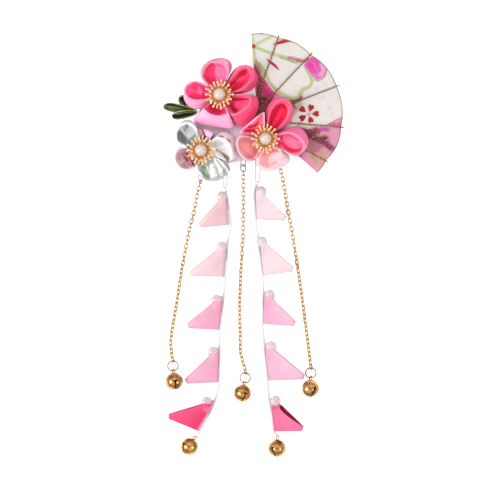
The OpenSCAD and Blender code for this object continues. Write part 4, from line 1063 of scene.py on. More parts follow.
def build_petal(flower, index):
    p, key = petals[flower][index], f"{flower}{index + 1}"
    *tones, fold_at, fold, fold_h = petal_looks[flower][index]
    wall, lip, before, after, floor, fold = (rgb(c) for c in (*tones, fold))
    depth = petal_depth[flower][index]
    cup = [*cup_rings[:5], *((a, b, mix(RIM_SHARE, c, depth)) for a, b, c in cup_rings[5:])]
    t = even_turns(p[10], PETAL_TURNS)
    ring_at, rows, paints = [], [], []
    for k, ring in ring_steps(cup, CUP_STEPS):
        points, s, out = cup_ring(p, flowers[flower], t, ring)
        # Painted light inside the cup: the fold's sides lit and shaded, a highlight on its ridge, and shade
        # towards the floor
        deep = step(*CUP_DEEP, k)
        ridge = hill(s, fold_at, FOLD_W)
        inner = mix(before, after, step(-FOLD_BLEND, FOLD_BLEND, s - fold_at)[:, None])
        inner = mix(inner, fold, FOLD_SHARE * ridge[:, None])
        inner = mix(inner, floor, FLOOR_SHARE * deep * (1 - ridge[:, None]))
        points[:, 2] += fold_h * ridge * deep * out
        ring_at.append(k)
        rows.append(points)
        paints.append(mix(mix(wall, lip, step(*CUP_LIP, k)), inner, step(*CUP_INSIDE, k)))
    # The floor rings take more of the floor's painted shade, and the fold's painted highlight along its
    # ridge
    last, last_paint = rows[-1], mix(paints[-1], floor, 0.2)
    middle = last[:, :2].mean(0)
    floor_z = last[:, 2].min() + FLOOR_SINK
    for g in FLOOR_SHARES:
        ridge_in = hill(s * (1 - g), fold_at, FOLD_W)
        z = mix(last[:, 2] - fold_h * ridge * out, floor_z, g)
        z += fold_h * ridge_in * mix(out, 0.5, g)
        ring_at.append(len(cup) - 1 + g)
        rows.append(np.column_stack([mix(last[:, :2], middle, g), z]))
        paints.append(mix(last_paint, fold, 0.5 * ridge_in[:, None]))
    gain = np.interp(ring_at, *zip(*ring_gain)) * petal_gain.get(key, 1)
    # The chart's strokes add painted shade and highlight, and flower c's print
    paints = paint_print_and_light(rows, paints, petal_print[key], PETAL_SEED + index) * gain[:, None, None]
    skin = Skin()
    skin.grid(rows, np.minimum(paints, PAINT_MOST), caps=False)
    skin.close(0, len(t), rows[0].mean(0), wall)
    skin.close((len(rows) - 1) * len(t), len(t), rows[-1].mean(0), floor)
    return skin


for flower, rows in petals.items():
    for index in range(len(rows)):
        build_petal(flower, index).build(f"cloth_{flower}_{index + 1}", crepe,
                                         f"flower_{flower}_petal_{index + 1}", petal_slots[flower])

# Stamens and pearls

DISC_Z = 4.6
DISC_T = 0.9
DISC_TURNS = 72
DISC_GAIN = 1.15
DISC_BAND = (2.8, 4.4)
SCALLOP = 0.05
SCALLOP_FROM = 3
PEARL_D = 5.6
PEARL_Z = DISC_Z + DISC_T + PEARL_D / 2 - 0.2
PEARL_TONE = (218, 200, 196)
# The pearl's peach rim is a painted reflection of the petals and gold round it
PEARL_RIM_REFLECTION = ((0.5, 0.98, (236, 192, 160)),)
STAMEN_R = 6.2
STAMENS = 18
STAMEN_FOOT = 3.1
STAMEN_BALL = (0.56, 0.62)
STAMEN_WIRE = (0.46, 0.36)
# The golds are lifted, and the disc's amber more by DISC_GAIN, against the shade among the stamens: painted
# light
AMBER = rgb((246, 168, 104)) * 1.1
PALE_GOLD = rgb((255, 218, 168)) * 1.15
disc_profile = [
    # radius, height
    (2, 0.1), (2, 4.4), (3.2, 4.55), (4.1, 4.75), (4.4, 5.1), (4.1, 5.42), (3.3, 5.5), (2.6, 5.42),
    (2.2, 5.38), (1.2, 5.36)]
stamen_rings = [
    # radius, lift, count, turn
    (STAMEN_R, 1.5, STAMENS, 0), (STAMEN_R - 1.5, 2, 14, 0.5)]


def build_stamens(f):
    skin = Skin()
    a = turns(DISC_TURNS)
    wave = np.cos(a * STAMENS)
    tone = 0.5 + 0.5 * wave[:, None]
    rows = [round_row(f, a, r * (1 + SCALLOP * (r > SCALLOP_FROM) * wave), f[2] + z)
            for r, z in disc_profile]
    # The disc's outer scallops turn pale gold on their crests: painted highlight
    skin.grid(rows, [mix(AMBER * DISC_GAIN, PALE_GOLD, 0.7 * tone * step(*DISC_BAND, r))
                     for r, _ in disc_profile])
    centre, foot_z = np.array(f[:2]), f[2] + DISC_Z
    for ring_r, lift, count, turn in stamen_rings:
        for i in range(count):
            angle = 2 * math.pi * (i + turn) / count + 0.09 * math.sin(7 * i)
            r = ring_r - 0.5 * (i % 2) + 0.3 * math.sin(5 * i)
            way = heading(math.degrees(angle))
            line = spline([(*(centre + way * STAMEN_FOOT), foot_z + 0.55),
                           (*(centre + way * mix(STAMEN_FOOT, r, 0.45)), foot_z + 1 + 0.3 * lift),
                           (*(centre + way * r), foot_z + lift + 0.4 * (i % 2))], 5)
            skin.tube(line, np.linspace(*STAMEN_WIRE, len(line)), 8,
                      mix(AMBER, PALE_GOLD, np.linspace(0.1, 0.7, len(line))[:, None]))
            skin.ball(line[-1], STAMEN_BALL, mix(PALE_GOLD, AMBER, 0.5 * (i % 3 == 1)), 9, 12,
                      line[-1] - line[-3])
    return skin


def banded_ball(skin, at, size, colour, bands, rings, sides):
    """A ball that takes other colours further out in plan, for painted highlight, shade and reflection."""
    skin.ball(at, (size / 2, size / 2), rings=rings, sides=sides)
    away = np.hypot(*(skin.points[-1][:, :2] - at[:2]).T) / (size / 2)
    skin.paint[-1] = rgb(colour)
    for first, last, band in bands:
        skin.paint[-1] = mix(skin.paint[-1], rgb(band), step(first, last, away)[:, None])


for flower, f in flowers.items():
    build_stamens(f).build(f"gold_stamens_{flower}", stamen_gold, f"stamens_{flower}", "gold_stamen")
    skin = Skin()
    banded_ball(skin, (*f[:2], f[2] + PEARL_Z), PEARL_D, PEARL_TONE, PEARL_RIM_REFLECTION, 40, 64)
    skin.build(f"fine_pearl_{flower}", nacre, f"pearl_{flower}", "pearl")

# Leaves

LEAF_H = 2.6
LEAF_ROOT_W = 0.6
LEAF_LOFT = 1.9
LEAF_FULL = 2.4
LEAF_TURNS = 96
LEAF_RIPPLE = 0.05
# Places in the leaf's rings: its face, its crest of painted sheen highlight and that one's width, its inside
# in painted shade
LEAF_FACE = (1, 2.2)
LEAF_CREST = (3.1, 0.45)
LEAF_INSIDE = (3.9, 4.8)
LEAF_LOW_SIDE = (0.1, -0.5)
# Dark, mid, light and pale: the dark is also painted shade at the foot and inside the loop, and light and
# pale are the crest's painted sheen highlight, stronger and paler on one side
LEAF_TONES = ((8, 12, 6), (72, 92, 46), (170, 190, 108), (234, 244, 190))
leaves = [
    # tip, root, width
    ((-25.4, 17.6), (-18.6, 12.2), 3.4),
    ((-32.6, 13.2), (-17.2, 11.1), 3.2),
    ((-28.6, 8.5), (-16.8, 10.6), 2.9)]
# Strokes of painted sheen highlight and painted shade over the leaves, in the fan's form
leaf_sheen_and_shade = [
    [
        ("line", (150, 166, 112), 0.9, 1.0, [(178.5, 100), (182, 103), (186, 105.3), (191, 107.6)]),
        ("line", (60, 80, 36), 0.8, 0.8, [(177.6, 98), (184, 105), (188, 107)]),
        ("line", (36, 14, 26), 0.9, 1.4, [(183, 95.5), (186, 100), (188.5, 104)]),
        ("line", (196, 210, 170), 0.95, 1.2, [(178.2, 99.5), (177.8, 97.5), (179, 95.2)])],
    [
        ("line", (14, 18, 8), 0.95, 1.3, [(163, 104.3), (167, 103.6), (173, 104.6), (180, 107)]),
        ("line", (140, 156, 96), 0.9, 0.9, [(165, 106.6), (170, 106.8), (176, 108)]),
        ("line", (116, 136, 66), 0.9, 1.4, [(164, 109.5), (168, 110.4), (173, 111)]),
        ("line", (30, 38, 14), 0.9, 0.7, [(166, 108.4), (170, 108.6)]),
        ("line", (84, 104, 44), 0.8, 1.1, [(174, 108.6), (182, 109.2), (190, 109.4)])],
    [
        ("line", (18, 34, 10), 0.9, 1.4, [(172.6, 115.5), (175.5, 117.3), (181, 116.4), (187.5, 114.8)]),
        ("line", (150, 166, 80), 0.9, 1.0, [(179, 110.6), (186, 110.2), (192, 110.2)]),
        ("line", (206, 222, 130), 0.95, 1.2, [(173.3, 112.6), (175, 111), (179, 110.6)]),
        ("line", (10, 12, 6), 0.95, 0.7, [(177.5, 112.8), (184, 112), (193, 111.8)]),
        ("line", (192, 198, 172), 0.9, 0.9, [(176.5, 113.8), (181, 113.4), (187, 113.4)])]]
leaf_rings = [
    # inset, height
    (0.25, 0), (0, 0.3), (0.15, 0.85), (0.5, 1), (0.95, 0.8), (1.15, 0.42)]


def build_leaf(index):
    tip, root, width = leaves[index]
    root = np.array(root)
    length = np.linalg.norm(root - tip)
    way = (tip - root) / length
    t = even_turns(LEAF_FULL, LEAF_TURNS)
    c, s = full(np.cos(t), LEAF_FULL), full(np.sin(t), LEAF_FULL)
    dark, mid, light, pale = (rgb(x) for x in LEAF_TONES)
    low_side = step(*LEAF_LOW_SIDE, s)[:, None]
    rows, paints = [], []
    for k, (inset, height) in ring_steps(leaf_rings, 6):
        u = length / 2 + (length / 2 - inset) * c
        v = ((width + LEAF_LOFT) / 2 - inset) * s * mix(LEAF_ROOT_W, 1, u / length)
        z = PLATE_TOP + 0.1 + LEAF_H * height + LEAF_RIPPLE * np.sin(u * 5) * step(1, 3, k)
        rows.append(np.column_stack([root + u[:, None] * way + v[:, None] * left_of(way), z]))
        crest = hill(k, *LEAF_CREST) * (0.35 + 0.55 * low_side)
        colour = mix(mix(dark, mid, step(*LEAF_FACE, k)), mix(light, pale, low_side), crest)
        paints.append(mix(colour, dark, step(*LEAF_INSIDE, k)))
    skin = Skin()
    skin.grid(rows, paint_print_and_light(rows, paints, leaf_sheen_and_shade[index], LEAF_SEED + index))
    return skin


for index in range(len(leaves)):
    build_leaf(index).build(f"satin_leaf_{index + 1}", satin, f"leaf_{index + 1}", "leaf_satin")

# Backing and clip

PLATE_Z = 6.1
PLATE_STEP = 0.8
PAD_TURNS = 48
plate_corners = [(-10.5, 25.5), (-2.5, 25.5), (21.5, 1), (21, -7.6), (16, -9.6), (-12, -14.6),
                 (-19.6, -13.4), (-22, -5)]
plate_profile = [
    # inset, height
    (0.35, PLATE_Z), (0.1, PLATE_Z + 0.1), (0, PLATE_Z + 0.3), (0, PLATE_TOP - 0.3), (0.1, PLATE_TOP - 0.1),
    (0.35, PLATE_TOP)]
pad_r = {"a": 7, "b": 3, "c": 7}


def build_backing():
    skin = Skin()
    outline = even(np.vstack([plate_corners, plate_corners[:1]]), PLATE_STEP)[:-1][::-1]
    skin.grid([np.column_stack([outline - outward(outline) * inset, np.full(len(outline), z)])
               for inset, z in plate_profile])
    for name, f in flowers.items():
        top = f[2] - 0.1
        profile = ((0, PLATE_Z + 0.6), (0, top - 0.35), (0.12, top - 0.1), (0.4, top))
        skin.grid([round_row(f, turns(PAD_TURNS), pad_r[name] - inset, z) for inset, z in profile])
    return skin


def finish_node(name, item):
    """A CAD node whose shape is right takes a better material."""
    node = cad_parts[name]
    node.data.materials.clear()
    node.data.materials.append(item)


build_backing().build("felt_backing", felt, "backing", "backing_card")
finish_node("clip", steel)
for name in ("chain_bell_left", "chain_bell_centre", "chain_bell_right", "strand_bell_left",
             "strand_bell_right"):
    finish_node(name, brass)

# Chains: links of round wire, each a quarter turn from the next, a top ring and a jump ring

LINK_PITCH = 1.95
LINK_W = 2.1
LINK_WIRE = 0.54
LINK_SLACK = 0.08
LINK_ROLL = 45
LINK_FIRST_ROLL = 5
ROLL_BAND = (0.3, 0.55)
LINK_END_STEPS = 9
RING_STEPS = 30
WIRE_SIDES = 10
LINK_TONE = rgb((218, 178, 126))
RING_TONE = rgb((132, 102, 76))
LINK_HOLD = 0.855
TOP_RING_WIRE = 0.46
JUMP_R = 2.4
JUMP_WIRE = 0.56
CHAIN_REST = LINK_W / 2 + 0.03
BELL_D = 8.2
BELL_PITCH = math.radians(20)
BELL_LOOP_X = BELL_D / 2 + 0.85
JUMP_CATCH = 0.12
chains = {
    # top ring's centre and radius, the points on the way down, the bell's centre and yaw
    "left": ((-15.6, -21.4, 4.4), 0.95, [
        (-17.1, -27.5, 1.7), (-18.6, -35.1), (-20.9, -44.3), (-24.2, -61.6), (-25.9, -73.6), (-28.9, -91.3),
        (-29.4, -96)], (-27.6, -113.4), 95),
    "centre": ((4.2, -15.2, 4.4), 1.7, [
        (4.3, -25, 1.7), (4.3, -31), (4.1, -46.9), (3, -64.9), (2.6, -75.4), (2.7, -87.4), (2.9, -100.3)],
        (3.9, -118.9), 80),
    "right": ((21, -13.4, 4.4), 0.95, [
        (22.8, -21.5, 1.7), (24.2, -30), (27.6, -49.7), (29.3, -60.3), (31.4, -74.8), (34.1, -95.5),
        (34.6, -99.5)], (35.2, -116.7), 88)}


def wire_link(skin, at, way, roll, length, width, wire, tone):
    """A closed stadium or ring of round wire, its long axis along way, rolled by degrees."""
    way, roll = unit(way), math.radians(roll)
    level = unit(np.cross([0, 0, 1], way))
    across = math.cos(roll) * level + math.sin(roll) * np.cross(way, level)
    half = np.linspace(-math.pi / 2, math.pi / 2, LINK_END_STEPS)
    a = turns(RING_STEPS) if length == width else np.concatenate([half, half + math.pi])
    out = np.cos(a)[:, None] * way + np.sin(a)[:, None] * across
    shift = np.where(np.arange(len(a)) < LINK_END_STEPS, 1, -1) * (length - width) / 2
    line = np.array(at) + out * (width - wire) / 2 + shift[:, None] * way
    b = turns(WIRE_SIDES)[None, :, None]
    rows = line[:, None] + wire / 2 * (np.cos(b) * out[:, None] + np.sin(b) * np.cross(way, across))
    n, m = rows.shape[:2]
    faces = [[i * m + j, i * m + (j + 1) % m, (i + 1) % n * m + (j + 1) % m, (i + 1) % n * m + j]
             for i in range(n) for j in range(m)]
    skin.add(rows, faces, tone)


def build_chain(top, ring_r, via, bell, yaw):
    skin = Skin()
    way = heading(yaw, 0)
    near = np.array([*bell, BELL_D / 2]) + (BELL_LOOP_X * math.cos(BELL_PITCH) + JUMP_CATCH) * way
    near[2] -= BELL_LOOP_X * math.sin(BELL_PITCH)
    drop = near[2] - CHAIN_REST
    far = near + math.sqrt(4 * JUMP_R ** 2 - drop ** 2) * way - [0, 0, drop]
    via = np.array(laid(via, CHAIN_REST))
    first_way, last_way = unit(via[0] - top), unit(via[-1] - far)
    route = np.array([top + (ring_r + LINK_HOLD - TOP_RING_WIRE / 2) * first_way, *via,
                      far + (LINK_HOLD - JUMP_WIRE / 2) * last_way])
    length = run_along(route)[-1]
    at = np.linspace(0, length, round(length / LINK_PITCH) + 1)
    gap = at[1]
    ways = at_run(route, at + gap / 2) - at_run(route, at - gap / 2)
    ring_w = 2 * ring_r + TOP_RING_WIRE
    wire_link(skin, top, first_way, LINK_ROLL, ring_w, ring_w, TOP_RING_WIRE, RING_TONE)
    for i, (q, link_way) in enumerate(zip(at_run(route, at), ways)):
        roll = mix(LINK_FIRST_ROLL, LINK_ROLL, step(*ROLL_BAND, i / len(at))) + 90 * (i + 1)
        wire_link(skin, q, link_way, roll, gap + 2 * LINK_WIRE + LINK_SLACK, LINK_W, LINK_WIRE, LINK_TONE)
    jump_w = 2 * JUMP_R + JUMP_WIRE
    wire_link(skin, (near + far) / 2, far - near, 0, jump_w, jump_w, JUMP_WIRE, RING_TONE)
    return skin


for name, row in chains.items():
    build_chain(*row).build(f"gold_chain_{name}", gold, f"chain_{name}", "gold_chain")

# Hangers: thread loops under the plate

HANGER_D = 0.4
# The drawn thread is fuller than the solid one
HANGER_FULL = 1.8
HANGER_Z = PLATE_Z - HANGER_D / 2 - 0.1
HANGER_TUCK = 4
HANGER_PLIES = 2
HANGER_PITCH = 1.2
HANGER_CUT = 0.2
HANGER_SIDES = 6
HANGER_ARC = 7
hangers = [
    # the plate's edge, the end of the loop, half widths at the two
    ((-15.4, -15.4), (-15.5, -21.1, 4.6), 1.1, 0.85),
    ((4.2, -10.6), (4.2, -14.3, 4.6), 1.1, 1.05),
    ((20.2, -9), (20.9, -13.1, 4.6), 1.1, 0.85),
    ((-4.4, -12.6), (-4.1, -24.6, 1.3), 1.7, 0.5),
    ((11.2, -11.6), (10.7, -21.8, 1.3), 1.2, 0.8)]
for index, (edge, hold, top_w, hold_w) in enumerate(hangers):
    edge, hold = np.array([*edge, HANGER_Z]), np.array(hold)
    run = unit([*(hold - edge)[:2], 0])
    side = np.array([*left_of(run), 0])
    bend = hold - run * hold_w
    legs = ((edge - run * HANGER_TUCK, top_w), (edge, top_w),
            (mix(edge, bend, 0.5), mix(top_w, hold_w, 0.5)))
    arc = [bend + hold_w * (math.cos(a) * run + math.sin(a) * side)
           for a in np.radians(np.linspace(90, -90, HANGER_ARC))]
    line = [q + side * w for q, w in legs] + arc + [q - side * w for q, w in legs[::-1]]
    skin = Skin()
    twisted(skin, spline(line, 5), HANGER_D / 2 * HANGER_FULL, HANGER_PLIES, HANGER_PITCH, HANGER_CUT,
            sides=HANGER_SIDES)
    skin.build(f"thread_loop_{index + 1}", cotton, f"hanger_{index + 1}", "white_thread")

# Strand petals

STRAND_RIM = 5.2
STRAND_BASE = 1.3
STRAND_WALL = 0.9
STRAND_CORNER = 1.1
STRAND_TURN = 0.86
STRAND_FULL = 2.6
STRAND_TURNS = 96
STRAND_Z = 0.1
# A mouth that spreads more than this is open, and its petal rounds the bead
OPEN_SPREAD = 1
BEAD_D = 5
BEAD_Z = 3.4
BEAD_STEP = 0.2
APEX_R = 0.5
CORD_REACH = 0.4
SEAT_R = BEAD_D / 2 + 0.1
HOOD_FROM = 14
HOOD_TOP = 20
HOOD_LEAST_TURN = 8
HOOD_END = 0.35
HOOD_R = 3.05
HOOD_RUNS = 26
HOOD_ACROSS = 18
LIFT_SLOPE = 36
LIFT_SINK = 0.15
LIFT_FILLET = 0.3
LIFT_FILLET_W = 0.6
LIFT_FILLET_FROM = 0.8
LIFT_FADE = (7.5, 5.5)
# Places in the strand petal's rings: its rim, with a line of painted shade, and that one's width, its inside
STRAND_LINE = (4.4, 0.8)
STRAND_INSIDE = (5.5, 7)
STRAND_FACE = (0.1, 0.9)
# Closed petals take the rim line's painted shade along their edges: its band in mm, and its shares at the
# near and far edges
EDGE_BAND = (0.42, 0.12)
EDGE_SHARE = 0.8
FAR_EDGE_SHARE = 0.35
INNER_GAP = 0.08
strand_beads = {
    "l": [(-5.7, -28.2), (-5.8, -51.3), (-8.3, -75.7), (-9.8, -99.8), (-12.7, -122.9)],
    "r": [(12.5, -25.9), (12.9, -49), (16.6, -73.6), (17.3, -97.3), (19.2, -122.4)]}
strand_rows = {
    # ends of the edge at the cord, far corner, how far the mouth spreads
    "l": [
        ((-4.4, -26.6), (-2.6, -41.6), (-16.1, -41.6), 0.3),
        ((-3.9, -49), (-5.1, -65.5), (-20.4, -64.1), 0.3),
        ((-5.8, -73.8), (-7.3, -90), (-21.4, -88.1), 0.3),
        ((-7.5, -97.6), (-7.7, -114.3), (-22.2, -113.7), 0.3),
        ((-9, -122), (-16.9, -136.6), (-30.3, -129.8), 0.5)],
    "r": [
        ((10.4, -24), (10.8, -39), (23.7, -38.6), 0.3),
        ((12.1, -47.1), (13.9, -64.8), (27.1, -62), 0.6),
        ((14.3, -71.8), (14.1, -87.4), (28.1, -87.1), 0.4),
        ((14.8, -95.4), (16.3, -113.4), (32.2, -111.6), 0.7),
        ((17.7, -124.1), (18.9, -136.8), (31.8, -135.6), 4.6)]}
strand_looks = {
    # face by the cord, face outside, rim line of painted shade, inside; the last right petal's dark inside
    # is painted shade in its open mouth
    "l": [((235, 190, 195), (240, 203, 206), (215, 195, 200), (250, 204, 210)),
          ((244, 204, 210), (253, 218, 222), (214, 190, 197), (252, 208, 214)),
          ((252, 168, 200), (252, 188, 212), (220, 150, 176), (252, 168, 200)),
          ((252, 172, 202), (252, 190, 214), (220, 150, 176), (252, 168, 200)),
          ((238, 58, 112), (250, 84, 134), (190, 80, 125), (232, 60, 108))],
    "r": [((250, 222, 229), (254, 226, 231), (225, 205, 210), (253, 216, 222)),
          ((250, 222, 228), (253, 226, 231), (222, 200, 206), (253, 214, 220)),
          ((252, 178, 208), (253, 194, 220), (222, 160, 186), (253, 180, 208)),
          ((252, 184, 212), (253, 197, 221), (216, 156, 180), (253, 182, 210)),
          ((250, 114, 160), (250, 124, 170), (228, 84, 132), (170, 6, 42))]}
strand_gain = {"l": (1.03, 0.97, 0.95, 0.95, 1), "r": (0.92, 0.92, 0.94, 0.94, 0.96)}
strand_light_and_shade = {
    # strokes of painted shade and highlight over the strand petals, in the fan's form
    "l1": [
        ("line", (222, 183, 193), 0.8, 1.3, [(225.6, 199), (226.6, 210), (227.4, 224)]),
        ("line", (250, 220, 224), 0.6, 1.2, [(220, 202), (212, 212), (203, 222)])],
    "l2": [
        ("line", (228, 190, 200), 0.7, 1.3, [(224, 249), (223.4, 262), (222.4, 276)]),
        ("line", (255, 228, 231), 0.6, 1.4, [(216, 254), (206, 264), (194, 273)])],
    "l5": [
        ("area", (235, 55, 110), 0.8, 1.0, [(212, 403), (206.5, 413), (201, 423), (197, 430), (200, 418),
            (206, 406)]),
        ("spot", (255, 130, 165), 0.6, 3.4, [(206.3, 409.6)]),
        ("line", (190, 80, 125), 0.8, 0.8, [(213, 400.3), (201, 404), (193, 408), (185, 410)]),
        ("line", (220, 110, 150), 0.8, 0.8, [(185, 425), (189, 428.4), (193.5, 432)]),
        ("line", (252, 196, 214), 0.9, 1.6, [(214.5, 402), (209.4, 413), (203.6, 424), (198.2, 432)])],
    "r1": [
        ("line", (248, 216, 225), 0.8, 1.3, [(257.2, 190), (257.6, 204), (258, 218)])],
    "r2": [
        ("line", (246, 212, 222), 0.8, 1.3, [(261, 244), (262.6, 258), (264.4, 272)])],
    "r5": [
        ("line", (236, 96, 144), 0.7, 1.2, [(273, 406), (274.4, 418), (275.6, 431)]),
        ("line", (253, 178, 206), 0.7, 0.9, [(281.5, 433.3), (290, 433.4), (300, 433.2)])]}
strand_slots = ("petal_pale", "petal_pale", "petal_mid", "petal_mid", "petal_hot_pink")
strand_rings = [
    # share of the way from the base to the rim, inset
    (0, 0), (0.45, 0), (0.86, 0), (0.97, 0), (1, 0.12), (1.012, 0.5), (1, 0.88), (0.97, 1), (0.6, 1),
    (0.28, 1)]


def strand_frame(p):
    """The petal's corner points, its mouth's spread, the way out from the cord, and its rim's two points."""
    top, bottom, corner, spread = (np.array(x, float) for x in p)
    axis = unit(corner - (top + bottom) / 2)
    down = left_of(axis) * np.sign(left_of(axis) @ (bottom - top)) * STRAND_CORNER
    over = CORD_REACH * axis
    return top - over, bottom - over, spread, axis, corner - down, corner + down


def strand_ring(p, bead, t, ring):
    """Points of one ring of a strand petal; its upper end is at the apex, or rounds an open petal's bead."""
    top, bottom, spread, axis, upper, lower = strand_frame(p)
    level, inset = ring[0], ring[1] * STRAND_WALL * (0.5 if spread > OPEN_SPREAD else 1)
    end = (mix(bottom, lower, level / STRAND_TURN) if level < STRAND_TURN
           else mix(lower, upper, (level - STRAND_TURN) / (1 - STRAND_TURN)))
    edge, from_edge, r = unit(bottom - top), bead - top, SEAT_R + BEAD_STEP
    if spread > OPEN_SPREAD:
        along = from_edge @ edge
        first = top + edge * (along + math.sqrt(along ** 2 - from_edge @ from_edge + r * r))
        start = bead + r * unit(mix(unit(first - bead), unit(upper - top), level))
    else:
        start = top + APEX_R * unit(mix(edge, unit(upper - top), level))
    way = end - start
    half = mix(STRAND_BASE, STRAND_RIM, min(level, 1)) / 2
    s, side = full(-np.cos(t), STRAND_FULL), full(np.sin(t), STRAND_FULL)
    length = s * (np.linalg.norm(way) / 2 - inset * np.where(s < 0, 1.8, 1))
    gape = spread * np.maximum(side, 0) * max(2 * level - 1, 0) * (1 - s * s * 0.6)
    q = (start + end) / 2 + unit(way) * length[:, None] - axis * gape[:, None]
    points = np.column_stack([q, STRAND_Z + half + side * (half - inset)])
    if spread < OPEN_SPREAD:
        lift_round_bead(points, bead, half)
    return points


def hood_grid(p, bead, r):
    """A patch of an open petal's cloth round the side of its bead, down to the petal's edge."""
    top, bottom, _, _, upper, _ = strand_frame(p)
    way, edge, to_bead = unit(upper - top), bottom - top, bead - top
    side = left_of(way) * np.sign(left_of(way) @ edge)
    last = math.acos(max((HOOD_END - to_bead @ way) / r, -0.95))
    high = math.radians(HOOD_TOP)
    rows = []
    for polar in np.linspace(math.radians(HOOD_FROM), last, HOOD_RUNS):
        room = (to_bead @ way + r * math.cos(polar)) * (edge @ side) / (edge @ way) - to_bead @ side
        low = math.acos(min(max(room / (r * math.sin(polar)), 0), 1))
        turn = np.linspace(high, min(low, high - math.radians(HOOD_LEAST_TURN)), HOOD_ACROSS)[:, None]
        q = bead + r * (math.cos(polar) * way + math.sin(polar) * np.cos(turn) * side)
        rows.append(np.column_stack([q, BEAD_Z + r * math.sin(polar) * np.sin(turn)]))
    return np.array(rows)


def lift_round_bead(points, bead, half):
    """The petal's face rises over the bead and falls off round it on a smooth slope."""
    d = np.linalg.norm(points[:, :2] - bead, axis=1)
    slope = math.radians(LIFT_SLOPE)
    turn = HOOD_R * math.sin(slope)
    dome = np.sqrt(np.maximum(HOOD_R ** 2 - np.minimum(d, turn) ** 2, 0))
    over = BEAD_Z + dome - LIFT_SINK - np.maximum(d - turn, 0) * math.tan(slope) - (STRAND_Z + 2 * half)
    fillet = LIFT_FILLET * np.exp(-np.abs(over) / LIFT_FILLET_W) * step(turn, turn + LIFT_FILLET_FROM, d)
    up = np.clip((points[:, 2] - STRAND_Z) / (2 * half), 0, 1)
    points[:, 2] += (np.maximum(over, 0) + fillet) * up * step(*LIFT_FADE, d)


def build_strand_petal(key, index):
    p, bead = strand_rows[key][index], np.array(strand_beads[key][index])
    face, outer, rim, within = (rgb(c) * strand_gain[key][index] for c in strand_looks[key][index])
    t = even_turns(STRAND_FULL, STRAND_TURNS) * (1 if key == "l" else -1)
    rows, paints = [], []
    for k, ring in ring_steps(strand_rings, 6):
        colour = mix(mix(face, outer, step(*STRAND_FACE, ring[0])), rim, hill(k, *STRAND_LINE))
        rows.append(strand_ring(p, bead, t, ring))
        paints.append(np.tile(mix(colour, within, step(*STRAND_INSIDE, k)), (len(t), 1)))
    paints = paint_print_and_light(rows, paints, strand_light_and_shade.get(f"{key}{index + 1}", []), STRAND_SEED + index)
    top, bottom, spread, _, upper, lower = strand_frame(p)
    skin = Skin()
    # Painted shade along the closed petal's edges
    if spread < OPEN_SPREAD:
        for line, share in (([top, upper], EDGE_SHARE), ([upper, lower, bottom], FAR_EDGE_SHARE)):
            d, _ = line_distance(np.vstack(rows)[:, :2], np.array(line))
            paints = mix(paints, rim, share * step(*EDGE_BAND, d).reshape(len(rows), -1, 1))
    skin.grid(rows, paints)
    if spread > OPEN_SPREAD:
        hood_tone = mix(face, outer, 0.4)
        sheets = [hood_grid(p, bead, r) for r in (HOOD_R, SEAT_R + INNER_GAP)]
        for sheet in sheets:
            skin.grid(sheet, hood_tone, closed=False)
        edges = [np.concatenate([g[:, 0], g[-1, 1:], g[-2::-1, -1], g[0, -2:0:-1]]) for g in sheets]
        skin.grid(edges, hood_tone, caps=False)
    return skin


strand_pieces = {}
for side_name, key in zip(SIDES, "lr"):
    strand_pieces[side_name] = [
        build_strand_petal(key, k).build(f"cloth_strand_{key}{k + 1}", crepe, f"strand_petal_{key}{k + 1}",
                                         slot) for k, slot in enumerate(strand_slots)]

# Clear beads

# The clear beads' paint: the cloth's pink seen through them, painted on, then a white band of painted
# highlight and a grey-mauve rim of painted shade
BEAD_HIGHLIGHT_AND_SHADE = ((0.5, 0.72, (255, 250, 251)), (0.78, 0.95, (186, 152, 160)))
bead_tones = {
    "left": ((244, 216, 222), (246, 218, 224), (250, 196, 214), (252, 202, 218), (248, 186, 204)),
    "right": ((250, 226, 232), (250, 224, 230), (252, 206, 224), (252, 210, 226), (250, 196, 212))}
for side_name in SIDES:
    skin = Skin()
    for at, tone in zip(strand_beads[side_name[0]], bead_tones[side_name]):
        banded_ball(skin, (*at, BEAD_Z), BEAD_D, tone, BEAD_HIGHLIGHT_AND_SHADE, 32, 48)
    strand_pieces[side_name].append(
        skin.build(f"glass_beads_{side_name}", glass, f"strand_beads_{side_name}", "glass_bead"))

for side_name, length in zip(SIDES, STRAND_LENGTHS):
    line = strand_lines[side_name] * MM

# Floor, world and softboxes; lengths here are metres

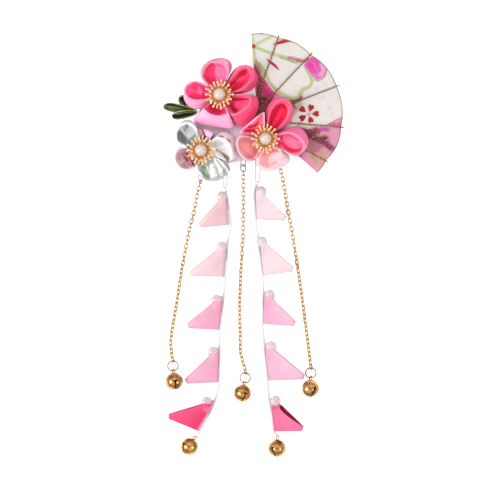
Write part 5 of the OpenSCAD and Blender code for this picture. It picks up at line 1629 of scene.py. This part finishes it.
FLOOR_HALF = 3
WORLD_STRENGTH = 1.5
floor_mesh = bpy.data.meshes.new("floor")
floor_corners = [(x * FLOOR_HALF, y * FLOOR_HALF, 0) for x, y in ((-1, -1), (1, -1), (1, 1), (-1, 1))]
floor_mesh.from_pydata(floor_corners, [], [(0, 1, 2, 3)])
floor_mesh.materials.append(floor_paper)
floor = bpy.data.objects.new("floor", floor_mesh)
bpy.context.scene.collection.objects.link(floor)

world = bpy.data.worlds.new("studio")
bpy.context.scene.world = world
world.use_nodes = True
tree = world.node_tree
background = tree.nodes["Background"]
background.inputs["Strength"].default_value = WORLD_STRENGTH
direction = tree.nodes.new("ShaderNodeTexCoord")
split = tree.nodes.new("ShaderNodeSeparateXYZ")
ramp = tree.nodes.new("ShaderNodeValToRGB")
tree.links.new(direction.outputs["Generated"], split.inputs["Vector"])
tree.links.new(split.outputs["Z"], ramp.inputs["Fac"])
tree.links.new(ramp.outputs["Color"], background.inputs["Color"])
world_stops = [(0, 0.35), (0.3, 0.6), (0.75, 0.95), (0.96, 0.95), (0.985, 0.35)]
for k, (at, value) in enumerate(world_stops):
    stop = ramp.color_ramp.elements[k] if k < 2 else ramp.color_ramp.elements.new(at)
    stop.position = at
    stop.color = (value, value, value, 1)

softboxes = [
    # name, place from the middle of the photograph, size, power
    ("softbox_left", (-0.62, -0.16, 0.52), (0.42, 0.5), 5),
    ("softbox_right", (0.6, -0.3, 0.6), (0.22, 0.22), 1.8),
    ("softbox_top", (0.05, 0.6, 0.9), (0.5, 0.3), 3)]
for name, at, size, power in softboxes:
    data = bpy.data.lights.new(name, "AREA")
    data.shape = "RECTANGLE"
    data.size, data.size_y = size
    data.energy = power
    lamp = bpy.data.objects.new(name, data)
    lamp.location = np.array(at) + np.array([*PHOTO_CENTRE, 0]) * MM
    lamp.rotation_euler = mathutils.Vector([-v for v in at]).to_track_quat("-Z", "Y").to_euler()
    lamp.visible_camera = False
    bpy.context.scene.collection.objects.link(lamp)

bpy.context.scene.view_settings.view_transform = "Standard"
